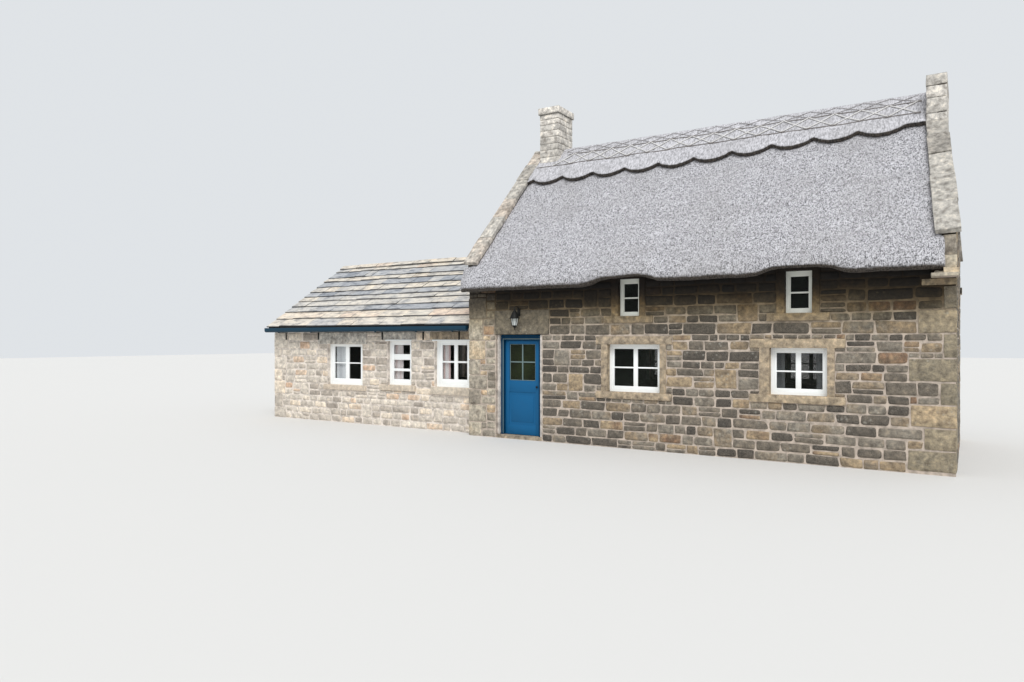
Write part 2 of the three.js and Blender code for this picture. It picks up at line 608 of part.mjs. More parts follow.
// The annex is deeper than the house, so its back wall returns against the house's gable
const returnY = HOUSE.depth - ANNEX.returnOverlap;
const returnWall = prism([[returnY, 0], [backY[1] - 1, 0], [backY[1] - 1, annexUnder(backY[1] - 1)], [returnY, annexUnder(returnY)]],
  annexRight - ANNEX.wall, annexRight);
add('annex_back_wall', join(annexLongWall(backY, ANNEX_BACK_WINDOWS), returnWall), GRITSTONE);
add('annex_gable_wall', prism([[ANNEX.front, 0], [ANNEX.back, 0], [ANNEX.back, annexUnder(ANNEX.back)],
  [ANNEX.middle, annexUnder(ANNEX.middle)], [ANNEX.front, annexUnder(ANNEX.front)]],
ANNEX.left, ANNEX.left + ANNEX.wall), GRITSTONE);
const underReturn = block(annexRight - ANNEX.wall - GAP, annexRight + 10, returnY - GAP, ANNEX.back, -10, FLOOR.top + 10);
add('annex_floor', cut(block(...annexInner, frontY[1] + GAP, backY[0] - GAP, 0, FLOOR.top), underReturn), FLAGS);
const annexRecess = 80;
ANNEX_WINDOWS.forEach((w) => glazed(w, ANNEX.front + annexRecess, ANNEX.front + annexRecess + WINDOW_DEPTH));
ANNEX_BACK_WINDOWS.forEach((w) => glazed(w, ANNEX.back - annexRecess - WINDOW_DEPTH, ANNEX.back - annexRecess));

// Annex roof: two slate slopes and a stone ridge
function slateSlope() {
  const top = ANNEX.middle - GAP / 2;
  return runAlongX(outline([[ANNEX.eaveY, annexTop(ANNEX.eaveY) - slateDrop], [top, annexTop(top) - slateDrop],
    [top, annexTop(top)], [ANNEX.eaveY, annexTop(ANNEX.eaveY)]]), ANNEX.left, annexRight);
}
add('annex_roof_front', solid(slateSlope()), SLATE);
add('annex_roof_back', solid(toBack(slateSlope(), ANNEX.middle)), SLATE);

const RIDGE_STONE = { half: 170, thickness: 34 };
const ridgeFoot = ANNEX.middle - RIDGE_STONE.half;
const ridgeOver = (y) => annexTop(y) + GAP;
add('annex_ridge', prism([
  [ridgeFoot, ridgeOver(ridgeFoot)], [ANNEX.middle, ridgeOver(ANNEX.middle)],
  [2 * ANNEX.middle - ridgeFoot, ridgeOver(ridgeFoot)],
  [2 * ANNEX.middle - ridgeFoot, ridgeOver(ridgeFoot) + RIDGE_STONE.thickness],
  [ANNEX.middle + 25, ANNEX.ridgeTop], [ANNEX.middle - 25, ANNEX.ridgeTop],
  [ridgeFoot, ridgeOver(ridgeFoot) + RIDGE_STONE.thickness],
], ANNEX.left, annexRight), SLATE);

// Gutters: half-round troughs with brackets to the wall
const GUTTER = {
  radius: 55, skin: 7, rim: 2314, side: 56, left: -15262, right: -8850,
  brackets: [-14784, -13596, -11470, -10247, -9239],
};

function gutter() {
  const middle = ANNEX.eaveY - GUTTER.radius - 12;
  const centre = GUTTER.rim - GUTTER.side;
  const section = (radius, x0, x1) => {
    const shape = new THREE.Shape();
    shape.moveTo(middle - radius, GUTTER.rim);
    shape.lineTo(middle - radius, centre);
    shape.absarc(middle, centre, radius, Math.PI, 2 * Math.PI);
    shape.lineTo(middle + radius, GUTTER.rim);
    return solid(runAlongX(shape, x0, x1, 1, 8));
  };
  const hollow = section(GUTTER.radius - GUTTER.skin, GUTTER.left + GUTTER.skin, GUTTER.right - GUTTER.skin);
  const run = cut(section(GUTTER.radius, GUTTER.left, GUTTER.right), hollow);
  const foot = centre - GUTTER.radius;
  const brackets = GUTTER.brackets.flatMap((x) => [
    block(x - 12, x + 12, middle - 20, middle + 20, foot - 16, foot + 3),
    block(x - 12, x + 12, middle - 20, ANNEX.front - GAP, foot - 16, foot - 6),
    block(x - 12, x + 12, ANNEX.front - GAP - 10, ANNEX.front - GAP, foot - 185, foot - 6),
  ]);
  return join(run, ...brackets);
}
const frontGutter = gutter();
add('annex_gutter_front', frontGutter, TEAL);
add('annex_gutter_back', solid(toBack(geometryOf(frontGutter), ANNEX.middle)), TEAL);

// The origin is the middle of the footprint, on the ground
const bounds = new THREE.Box3().setFromObject(group);
const centre = bounds.getCenter(new THREE.Vector3());
group.children.forEach((mesh) => mesh.geometry.translate(-centre.x, -centre.y, -bounds.min.z));

export default group;
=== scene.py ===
"""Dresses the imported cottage: laid stone, thatch, stone slates, joinery, lantern, studio and camera."""

from __future__ import annotations

import logging
import math
import random
from dataclasses import dataclass
from enum import Enum
from typing import Callable, Iterable, Sequence

import bpy
import numpy as np
from mathutils import Matrix, Vector

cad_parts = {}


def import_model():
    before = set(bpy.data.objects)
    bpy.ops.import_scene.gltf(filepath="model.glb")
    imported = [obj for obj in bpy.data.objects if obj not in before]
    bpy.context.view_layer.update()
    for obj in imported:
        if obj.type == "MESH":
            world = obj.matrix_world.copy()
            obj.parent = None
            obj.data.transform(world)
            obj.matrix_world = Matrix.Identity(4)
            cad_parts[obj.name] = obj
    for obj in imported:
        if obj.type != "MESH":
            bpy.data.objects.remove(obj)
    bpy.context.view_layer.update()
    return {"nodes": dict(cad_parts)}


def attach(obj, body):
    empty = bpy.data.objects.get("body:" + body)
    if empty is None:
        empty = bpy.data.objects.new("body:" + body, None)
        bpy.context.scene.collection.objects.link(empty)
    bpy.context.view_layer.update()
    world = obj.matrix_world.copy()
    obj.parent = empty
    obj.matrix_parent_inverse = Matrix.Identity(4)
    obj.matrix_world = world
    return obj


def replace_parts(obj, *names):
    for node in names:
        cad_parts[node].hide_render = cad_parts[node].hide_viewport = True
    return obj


LOG = logging.getLogger("cottage")

Item = bpy.types.Object
Material = bpy.types.Material
Pair = tuple[float, float]
Triple = tuple[float, float, float]
Stops = Sequence[tuple[float, Triple]]
Trim = tuple[float, float, float, float, float]

# Places are measured from the foot of the house's right-hand front corner: x runs right, y to the back, z up
CORNER = Vector((7.5937, -2.627, 0.0))
HOUSE_LENGTH = 8.76
HOUSE_DEPTH = 4.72
ROOF_SLOPE = 1.134
COPING_TOP = 3.80
COPING_UNDER = 3.6715
LEAN_FROM = 3.65
LEAN = 0.0987
ANNEX_LEFT = -15.24
ANNEX_FRONT = 0.30
ANNEX_BACK = 5.30
ANNEX_MIDDLE = 2.80
ANNEX_SLOPE = 0.65
ANNEX_EAVE = (0.10, 2.345)
ANNEX_HEAD = 2.4
# How far the stones of one wall run past a corner over the next
LAP = 0.012


def spot(x: float, y: float, z: float) -> Vector:
    """A place measured from the house's right-hand front corner, in the frame of the model."""
    return CORNER + Vector((x, y, z))


def annex_top(y: float) -> float:
    """Height of the annex roof's upper face over a place across the roof."""
    return ANNEX_EAVE[1] + ANNEX_SLOPE * (min(y, 2 * ANNEX_MIDDLE - y) - ANNEX_EAVE[0])


def frame_of(side: Vector, up: Vector, at: Vector) -> Matrix:
    """The place of a slab: its width along side, its length along up, its thickness outwards."""
    turn = Matrix((side, up, side.cross(up))).transposed()
    return Matrix.Translation(at) @ turn.to_4x4()


class Side(Enum):
    """The two long sides of the building."""

    FRONT = 1
    BACK = -1

    def across(self, y: float, middle: float) -> float:
        """A place across the building, given as it would be on the front."""
        return y if self is Side.FRONT else 2 * middle - y

    def span(self, y0: float, y1: float, middle: float) -> Pair:
        """Two places across the building, the lower one first."""
        ends = (self.across(y0, middle), self.across(y1, middle))
        return min(ends), max(ends)


class Bench:
    """Modelling steps with Blender's operators, each on objects chosen by name."""

    @staticmethod
    def only(*objects: Item) -> None:
        """Selects these objects alone and makes the first one active.

        Args:
            *objects: The objects.
        """
        bpy.ops.object.select_all(action="DESELECT")
        for item in objects:
            item.select_set(True)
        bpy.context.view_layer.objects.active = objects[0]

    @staticmethod
    def settle(item: Item, name: str) -> Item:
        """Names a new object and moves its place, turn and size into its mesh.

        Args:
            item: The object.
            name: Its new name.

        Returns:
            The same object.
        """
        item.name = name
        item.data.name = name
        Bench.only(item)
        bpy.ops.object.transform_apply(location=True, rotation=True, scale=True)
        return item

    @staticmethod
    def block(name: str, low: Sequence[float], high: Sequence[float], edge: float = 0.0) -> Item:
        """A block between two corners, with softened edges.

        Args:
            name: The object's name.
            low: Lowest corner, in the frame of the model.
            high: Highest corner.
            edge: Width of the edges' bevel, or 0 for none.

        Returns:
            The block.
        """
        a, b = Vector(low), Vector(high)
        bpy.ops.object.select_all(action="DESELECT")
        bpy.ops.mesh.primitive_cube_add(size=1, location=(a + b) / 2, scale=b - a)
        item = Bench.settle(bpy.context.object, name)
        if edge > 0:
            Bench.bevel(item, edge)
        return item

    @staticmethod
    def rod(name: str, a: Vector, b: Vector, radius: float, sides: int = 6) -> Item:
        """A rod between two points.

        Args:
            name: The object's name.
            a: One end.
            b: The other end.
            radius: Half its thickness.
            sides: Number of its sides.

        Returns:
            The rod.
        """
        span = b - a
        bpy.ops.object.select_all(action="DESELECT")
        bpy.ops.mesh.primitive_cylinder_add(
            vertices=sides, radius=radius, depth=span.length, location=(a + b) / 2,
            rotation=span.to_track_quat("Z", "Y").to_euler(),
        )
        return Bench.settle(bpy.context.object, name)

    @staticmethod
    def bevel(item: Item, width: float, segments: int = 2) -> None:
        """Rounds an object's sharp edges."""
        Bench.apply(
            item, "BEVEL", width=width, segments=segments, limit_method="ANGLE",
            angle_limit=math.radians(35),
        )

    @staticmethod
    def link(name: str, data: bpy.types.ID) -> Item:
        """A new object in the scene that shows this data.

        Args:
            name: The object's name.
            data: Its mesh, curve, lamp or camera.

        Returns:
            The object.
        """
        item = bpy.data.objects.new(name, data)
        bpy.context.scene.collection.objects.link(item)
        return item

    @staticmethod
    def apply(item: Item, kind: str, **settings: object) -> None:
        """Adds a modifier with these settings and applies it.

        Args:
            item: The object.
            kind: Blender's name for the modifier's type.
            **settings: Its settings, by name.
        """
        Bench.only(item)
        modifier = item.modifiers.new("shape", kind)
        for key, value in settings.items():
            setattr(modifier, key, value)
        bpy.ops.object.modifier_apply(modifier="shape")

    @staticmethod
    def join(items: Sequence[Item], name: str) -> Item:
        """Joins several objects into one of that name.

        Args:
            items: The objects.
            name: Name of the joined one.

        Returns:
            The joined object.
        """
        Bench.only(*items)
        if len(items) > 1:
            bpy.ops.object.join()
        joined = bpy.context.object
        joined.name = name
        joined.data.name = name
        return joined

    @staticmethod
    def smooth(item: Item, degrees: float = 35) -> None:
        """Shades an object smooth but for edges sharper than an angle."""
        Bench.only(item)
        bpy.ops.object.shade_smooth_by_angle(angle=math.radians(degrees))

    @staticmethod
    def copy_of(item: Item, name: str) -> Item:
        """A free copy of an object with a mesh of its own, its loose triangles welded.

        Args:
            item: The object.
            name: Name of the copy.

        Returns:
            The copy.
        """
        mesh = item.data.copy()
        mesh.materials.clear()
        twin = Bench.link(name, mesh)
        Bench.only(twin)
        bpy.ops.object.mode_set(mode="EDIT")
        bpy.ops.mesh.select_all(action="SELECT")
        bpy.ops.mesh.remove_doubles(threshold=0.00002)
        bpy.ops.object.mode_set(mode="OBJECT")
        return twin

    @staticmethod
    def _unselect_mesh(item: Item, kind: str) -> None:
        """Clears the selection in an object's mesh and sets what is selected there.

        Args:
            item: The object.
            kind: What is selected from then on, in Blender's words.
        """
        Bench.only(item)
        bpy.ops.object.mode_set(mode="EDIT")
        bpy.ops.mesh.select_mode(type=kind)
        bpy.ops.mesh.select_all(action="DESELECT")
        bpy.ops.object.mode_set(mode="OBJECT")

    @staticmethod
    def select_faces(item: Item, wanted: Callable[[bpy.types.MeshPolygon], bool]) -> None:
        """Selects the faces of an object that a test accepts, and leaves edit mode open on them.

        Args:
            item: The object.
            wanted: The test of a face.
        """
        Bench._unselect_mesh(item, "FACE")
        for polygon in item.data.polygons:
            polygon.select = wanted(polygon)
        bpy.ops.object.mode_set(mode="EDIT")

    @staticmethod
    def select_edges(item: Item, wanted: Callable[[Vector, Vector], bool]) -> None:
        """Selects the edges whose two ends a test accepts, and leaves edit mode open on them.

        Args:
            item: The object.
            wanted: The test of an edge's two ends.
        """
        Bench._unselect_mesh(item, "EDGE")
        points = item.data.vertices
        for edge in item.data.edges:
            first, second = edge.vertices
            edge.select = wanted(points[first].co, points[second].co)
        bpy.ops.object.mode_set(mode="EDIT")


class Signal:
    """A shader socket that takes part in sums, so that an expression adds its own Math nodes."""

    def __init__(self, graph: Graph, socket: bpy.types.NodeSocket) -> None:
        """Keeps the graph and the socket."""
        self.graph = graph
        self.socket = socket

    def _math(self, operation: str, first: object, second: object) -> Signal:
        """One Math node on two values."""
        return self.graph.node("ShaderNodeMath", {"operation": operation}, {0: first, 1: second})

    def __add__(self, other: object) -> Signal:
        """Sum."""
        return self._math("ADD", self, other)

    __radd__ = __add__

    def __sub__(self, other: object) -> Signal:
        """Difference."""
        return self._math("SUBTRACT", self, other)

    def __rsub__(self, other: object) -> Signal:
        """Difference from a number."""
        return self._math("SUBTRACT", other, self)

    def __mul__(self, other: object) -> Signal:
        """Product."""
        return self._math("MULTIPLY", self, other)

    __rmul__ = __mul__

    def __gt__(self, other: object) -> Signal:
        """1 where this is greater."""
        return self._math("GREATER_THAN", self, other)

    def __lt__(self, other: object) -> Signal:
        """1 where this is less."""
        return self._math("LESS_THAN", self, other)

    def wave(self) -> Signal:
        """Sine."""
        return self.graph.node("ShaderNodeMath", {"operation": "SINE"}, {0: self})

    def clip(self) -> Signal:
        """This value held between 0 and 1."""
        return self.graph.node("ShaderNodeClamp", {}, {"Value": self, "Min": 0.0, "Max": 1.0})

    def ramp(self, stops: Stops) -> Signal:
        """A colour looked up along stops of (place, colour)."""
        return self.graph.node("ShaderNodeValToRGB", {"stops": stops}, {"Fac": self})

    def spread(self, low: float, high: float) -> Signal:
        """This value mapped so that low gives 0 and high gives 1, and held there."""
        return self.graph.node(
            "ShaderNodeMapRange", {"clamp": True}, {"Value": self, "From Min": low, "From Max": high}
        )


class Graph:
    """One material's nodes, ending in a Principled shader."""

    def __init__(self, name: str) -> None:
        """Makes the material with an empty tree, a shader and an output.

        Args:
            name: The material's name.
        """
        self.material = bpy.data.materials.new(name)
        self.material.use_nodes = True
        self.tree = self.material.node_tree
        self.tree.nodes.clear()
        self.shader = self.tree.nodes.new("ShaderNodeBsdfPrincipled")
        output = self.tree.nodes.new("ShaderNodeOutputMaterial")
        self.tree.links.new(self.shader.outputs["BSDF"], output.inputs["Surface"])
        self._place: Signal | None = None

    def node(
        self, kind: str, settings: dict[str, object] | None = None,
        inputs: dict[object, object] | None = None, output: object = None,
    ) -> Signal:
        """Adds one node.

        Args:
            kind: Blender's name for the node's type.
            settings: The node's own settings, or a ramp's stops.
            inputs: Values or signals for its sockets, by name or number.
            output: Name or number of the socket to return, or None for the first enabled one.

        Returns:
            The chosen output as a signal.
        """
        made = self.tree.nodes.new(kind)
        for key, value in (settings or {}).items():
            if key == "stops":
                self._set_stops(made.color_ramp, value)
            else:
                setattr(made, key, value)
        for key, value in (inputs or {}).items():
            self._feed(made.inputs[key], value)
        if output is None:
            socket = next(item for item in made.outputs if item.enabled)
        else:
            socket = made.outputs[output]
        return Signal(self, socket)

    @staticmethod
    def _set_stops(ramp: bpy.types.ColorRamp, stops: Stops) -> None:
        """Writes a ramp's stops.

        Args:
            ramp: The ramp.
            stops: Its new stops.
        """
        while len(ramp.elements) > len(stops):
            ramp.elements.remove(ramp.elements[-1])
        while len(ramp.elements) < len(stops):
            ramp.elements.new(1.0)
        for element, (place, colour) in zip(ramp.elements, stops):
            element.position = place
            element.color = (*colour, 1.0)

    def _feed(self, socket: bpy.types.NodeSocket, value: object) -> None:
        """Links a signal to a socket, or sets its value.

        Args:
            socket: The socket.
            value: The signal or the value.
        """
        if isinstance(value, Signal):
            self.tree.links.new(value.socket, socket)
        elif isinstance(value, tuple) and socket.type == "RGBA":
            socket.default_value = (*value, 1.0)
        else:
            socket.default_value = value

    @property
    def place(self) -> Signal:
        """Object coordinates, which are places in the frame of the model."""
        if self._place is None:
            self._place = self.node("ShaderNodeTexCoord", {}, {}, "Object")
        return self._place

    def axis(self, name: str, of: Signal | None = None) -> Signal:
        """One of the coordinates X, Y or Z of the place, or of another vector."""
        return self.node("ShaderNodeSeparateXYZ", {}, {0: of or self.place}, name)

    def facing(self, name: str) -> Signal:
        """One of the coordinates X, Y or Z of the surface's normal."""
        return self.axis(name, self.node("ShaderNodeNewGeometry", {}, {}, "Normal"))

    def stretched(self, scale: Sequence[float]) -> Signal:
        """The place scaled along its axes."""
        return self.node("ShaderNodeMapping", {}, {"Vector": self.place, "Scale": tuple(scale)})

    def noise(
        self, scale: float, detail: float = 4.0, rough: float = 0.55, where: Signal | None = None
    ) -> Signal:
        """Noise of that many features a metre."""
        return self.node(
            "ShaderNodeTexNoise", {},
            {"Vector": where or self.place, "Scale": scale, "Detail": detail, "Roughness": rough}, "Fac",
        )

    def cells(self, scale: float, where: Signal | None = None) -> Signal:
        """Distance to the middle of the nearest of that many cells a metre."""
        inputs = {"Vector": where or self.place, "Scale": scale}
        return self.node("ShaderNodeTexVoronoi", {}, inputs, "Distance")

    def attribute(self, name: str) -> Signal:
        """A number kept on the mesh's faces."""
        return self.node("ShaderNodeAttribute", {"attribute_name": name}, {}, "Fac")

    def mix(self, share: object, first: object, second: object, blend: str = "MIX") -> Signal:
        """Two colours mixed by a share."""
        return self.node(
            "ShaderNodeMix", {"data_type": "RGBA", "blend_type": blend}, {0: share, 6: first, 7: second}, 2,
        )

    def painted_eaves_shade(self, base: Signal, share: object) -> Signal:
        """A wall's colour, darkened towards the eaves: painted shade under the overhang, with some damp
        staining.

        Args:
            base: The wall's colour.
            share: How much of the painted shade it takes.

        Returns:
            The darkened colour.
        """
        # Painted shade: the colour grows darker from 2 m up to the eaves at 3 m
        height = self.axis("Z") + (self.noise(1.7, 3.0) - 0.5) * 0.35
        shade = height.spread(2.0, 3.0).ramp(
            (
                (0.0, (1.0, 1.0, 1.0)), (0.25, (0.84, 0.83, 0.79)),
                (0.45, (0.54, 0.51, 0.42)), (0.58, (0.33, 0.29, 0.205)),
                (0.70, (0.16, 0.13, 0.075)), (0.84, (0.06, 0.045, 0.022)), (1.0, (0.022, 0.014, 0.006)),
            )
        )
        return self.mix(share, base, shade, "MULTIPLY")

    def bump(self, height: Signal, strength: float, distance: float) -> None:
        """Feeds a height to the shader's normal."""
        inputs = {"Height": height, "Strength": strength, "Distance": distance}
        self._feed(self.shader.inputs["Normal"], self.node("ShaderNodeBump", {}, inputs))

    def finish(self, **inputs: object) -> Material:
        """Feeds the shader's sockets, named with underscores for spaces, and returns the material."""
        for key, value in inputs.items():
            self._feed(self.shader.inputs[key.replace("_", " ")], value)
        return self.material


@dataclass(frozen=True)
class StoneFinish:
    """Weathered gritstone, one tone a stone from the number kept on its faces."""

    name: str
    stops: Stops  # colours along the tone
    base: float = 0.0  # tone of a piece that keeps no number
    grit: float = 0.7
    lichen: float = 0.3  # share of pale lichen
    soot: float = 0.45  # share of dark weathering
    mottle: float = 0.92  # share of the clouding of each stone

    def build(self) -> Material:
        """Makes the material.

        Returns:
            The material.
        """
        g = Graph(self.name)
        tone = g.attribute("tone") + (g.noise(3.1, 3.0) - 0.5) * 0.5 + self.base
        base = tone.clip().ramp(self.stops)
        veins = g.noise(11.0, 6.0, 0.65)
        cloud = veins.ramp(
            (
                (0.35, (0.42, 0.39, 0.36)), (0.46, (0.8, 0.79, 0.77)),
                (0.55, (1.12, 1.1, 1.06)), (0.68, (1.75, 1.65, 1.5)),
            )
        )
        base = g.mix(self.mottle, base, cloud, "MULTIPLY")
        grain = g.noise(120.0, 3.0, 0.6)
        base = g.mix(grain.spread(0.42, 0.72) * 0.28, base, (0.55, 0.49, 0.41), "SCREEN")
        dark = g.noise(4.0, 5.0, 0.62).spread(0.5, 0.7) * self.soot
        base = g.mix(dark, base, (0.045, 0.041, 0.035))
        spots = (1 - g.cells(13.0).spread(0.12, 0.34)) * g.noise(1.9, 2.0).spread(0.48, 0.62)
        base = g.mix(spots * self.lichen, base, (0.52, 0.5, 0.43))
        # Painted shade under the eaves, as much as each stone's share
        base = g.painted_eaves_shade(base, g.attribute("shade"))
        g.bump(g.noise(20.0, 6.0, 0.62) * 0.8 + grain * 0.2, self.grit, 0.022)
        return g.finish(Base_Color=base, Roughness=0.86 + grain * 0.12)


@dataclass(frozen=True)
class SlateFinish:
    """Split stone slates, mottled along their length, with painted shade on their lower edges."""

    name: str
    stops: Stops  # colours along the tone

    def build(self) -> Material:
        """Makes the material.

        Returns:
            The material.
        """
        g = Graph(self.name)
        along = g.stretched((0.45, 1.0, 1.0))
        tone = g.attribute("tone") + (g.noise(4.0, 4.0, 0.6, along) - 0.5) * 0.5
        base = tone.clip().ramp(self.stops)
        cloud = g.noise(9.0, 6.0, 0.68, along).ramp(
            ((0.36, (0.42, 0.43, 0.46)), (0.46, (0.9, 0.9, 0.9)), (0.62, (1.3, 1.27, 1.2)))
        )
        base = g.mix(0.85, base, cloud, "MULTIPLY")
        moss = g.noise(2.3, 5.0, 0.7).spread(0.56, 0.68) * g.noise(30.0, 2.0).spread(0.4, 0.6)
        base = g.mix(moss * 0.4, base, (0.12, 0.12, 0.075))
        # Painted shade on the faces that look down the slope: the shadow lines under the slates' tails
        edge = 1 - g.facing("Z").spread(0.3, 0.62)
        base = g.mix(edge * 0.86, base, (0.055, 0.058, 0.062))
        g.bump(g.noise(26.0, 6.0, 0.65), 0.7, 0.016)
        return g.finish(Base_Color=base, Roughness=0.82)


@dataclass(frozen=True)
class MortarFinish:
    """Lime mortar between the stones, with plaster on the faces of the rooms."""

    name: str
    colour: Triple  # colour of the joints
    # Lowest and highest place of the room, along and across the house
    room: tuple[Pair, Pair] = ((0.0, 0.0), (0.0, 0.0))
    eaves_shade_share: float = 0.0  # share of the painted shade under the eaves

    def build(self) -> Material:
        """Makes the material.

        Returns:
            The material.
        """
        g = Graph(self.name)
        cloud = g.noise(8.0, 5.0, 0.6)
        fine = g.noise(150.0, 2.0)
        dark = tuple(c * 0.5 for c in self.colour)
        joints = g.mix(cloud.spread(0.36, 0.6), dark, self.colour)
        joints = g.mix(fine.spread(0.35, 0.7) * 0.3, joints, tuple(c * 0.45 for c in self.colour))
        # Painted shade under the eaves, on faces that look to the front or the back
        joints = g.painted_eaves_shade(joints, (g.facing("Y") * g.facing("Y")).spread(0.3, 0.6) * self.eaves_shade_share)
        (x0, x1), (y0, y1) = self.room
        x, y = g.axis("X"), g.axis("Y")
        inside = (x > x0) * (x < x1) * (y > y0) * (y < y1)
        plaster = g.mix(cloud, (0.22, 0.21, 0.19), (0.30, 0.285, 0.26))
        g.bump(cloud * 0.5 + fine * 0.5, 0.6, 0.008)
        return g.finish(Base_Color=g.mix(inside, joints, plaster), Roughness=0.93)


@dataclass(frozen=True)
class ThatchFinish:
    """Weathered reed: pale ends packed close with dark gaps between, and on faces that look down a dark
    cut-reed brown with painted shade in it.
    """

    name: str
    fleck: float = 70.0  # reed ends a metre
    comb: float = 0.6  # how far the flecks are drawn out down the slope, 1 for not at all
    dark: float = 0.035  # brightness of the gaps between the straws
    pale: float = 0.64  # brightness of the palest straws

    def build(self) -> Material:
        """Makes the material.

        Returns:
            The material.
        """
        g = Graph(self.name)
        along = g.stretched((1.0, self.comb, self.comb))
        ends = g.noise(self.fleck, 2.0, 0.6, along)
        tufts = g.noise(self.fleck * 0.43, 2.0, 0.6, along)
        mixed = ends * 0.7 + tufts * 0.3
        stops = []
        for at, share in ((0.37, 0.0), (0.45, 0.32), (0.51, 0.62), (0.60, 1.0)):
            light = self.dark + (self.pale - self.dark) * share
            stops.append((at, (light, 0.985 * light, 1.03 * light)))
        base = mixed.ramp(stops)
        cloud = g.noise(0.9, 4.0, 0.62)
        base = g.mix(cloud.spread(0.42, 0.68) * 0.3, base, (0.30, 0.29, 0.285))
        bands = g.noise(3.2, 4.0, 0.6, g.stretched((0.3, 1.0, 1.0)))
        base = g.mix(bands.spread(0.5, 0.72) * 0.25, base, (0.25, 0.24, 0.245))
        # Faces that look down, under the eaves and the ridge's edge, get the cut reed's brown darkened with
        # painted shade
        cut = 1 - g.facing("Z").spread(-0.32, -0.02)
        shaded_cut_reed = g.mix(ends.spread(0.4, 0.62), (0.014, 0.011, 0.009), (0.075, 0.058, 0.042))
        base = g.mix(cut * 0.95, base, shaded_cut_reed)
        g.bump(mixed, 0.9, 0.022)
        return g.finish(Base_Color=base, Roughness=0.95)


@dataclass(frozen=True)
class PaintFinish:
    """Brush-painted wood or metal, a little dusty in places."""

    name: str
    colour: Triple
    rough: float = 0.38  # roughness of the clean paint
    dirt: float = 0.18  # share of grime
    metal: float = 0.0
    shine: float = 0.5  # strength of its mirror-like part

    def build(self) -> Material:
        """Makes the material.

        Returns:
            The material.
        """
        g = Graph(self.name)
        brush = g.noise(60.0, 3.0, 0.5, g.stretched((1.0, 1.0, 0.12)))
        wear = g.noise(6.0, 5.0, 0.65)
        grime = tuple(c * 0.35 + 0.03 for c in self.colour)
        base = g.mix(wear.spread(0.48, 0.8) * self.dirt, self.colour, grime)
        g.bump(brush, 0.12, 0.002)
        rough = self.rough + wear * 0.2
        return g.finish(Base_Color=base, Roughness=rough, Metallic=self.metal, Specular_IOR_Level=self.shine)


@dataclass(frozen=True)
class WoodFinish:
    """Oiled or weathered wood with its grain along X."""

    name: str
    pale: Triple  # colour of the early wood
    dark: Triple  # colour of the late wood
    boards: float = 0.0  # width of a floor board across Y, or 0 for one piece

    def build(self) -> Material:
        """Makes the material.

        Returns:
            The material.
        """
        g = Graph(self.name)
        grain = g.noise(30.0, 5.0, 0.6, g.stretched((0.06, 1.0, 1.0)))
        base = g.mix(grain.spread(0.3, 0.7), self.pale, self.dark)
        height = grain
        if self.boards > 0:
            turns = g.axis("Y") * (math.pi / self.boards)
            gap = (turns.wave() * turns.wave()) < 0.004
            base = g.mix(gap * 0.8, base, (0.03, 0.02, 0.015))
            height = grain * 0.3 - gap
        g.bump(height, 0.3, 0.004)
        return g.finish(Base_Color=base, Roughness=0.6)


@dataclass(frozen=True)
class GlassFinish:
    """Old glass whose colour paints what is seen in it: the shade of a dark room behind a window, a reflection
    in the lantern.
    """

    name: str
    painted_seen_colour: Triple = (0.007, 0.009, 0.007)  # painted colour seen in the glass: the room's shade, in the lantern a reflection
    cover: float = 0.45  # how much the glass hides

    def build(self) -> Material:
        """Makes the material.

        Returns:
            The material.
        """
        g = Graph(self.name)
        light = tuple(c * 2.0 for c in self.painted_seen_colour)
        base = g.mix(g.noise(2.2, 3.0).spread(0.4, 0.65), self.painted_seen_colour, light)
        g.bump(g.noise(3.0, 2.0), 0.06, 0.01)
        return g.finish(Base_Color=base, Roughness=0.05, Alpha=self.cover, IOR=1.5, Specular_IOR_Level=0.15)


@dataclass(frozen=True)
class ClothFinish:
    """Thin woven cloth with faint stripes down its length."""

    name: str
    colour: Triple
    stripe: Triple  # colour of the faint stripes down its length

    def build(self) -> Material:
        """Makes the material.

        Returns:
            The material.
        """
        g = Graph(self.name)
        stripes = g.noise(9.0, 2.0, 0.5, g.stretched((1.0, 1.0, 0.02)))
        base = g.mix(stripes.spread(0.42, 0.6), self.colour, self.stripe)
        g.bump(g.noise(400.0, 1.0), 0.2, 0.001)
        return g.finish(Base_Color=base, Roughness=0.9, Specular_IOR_Level=0.1)


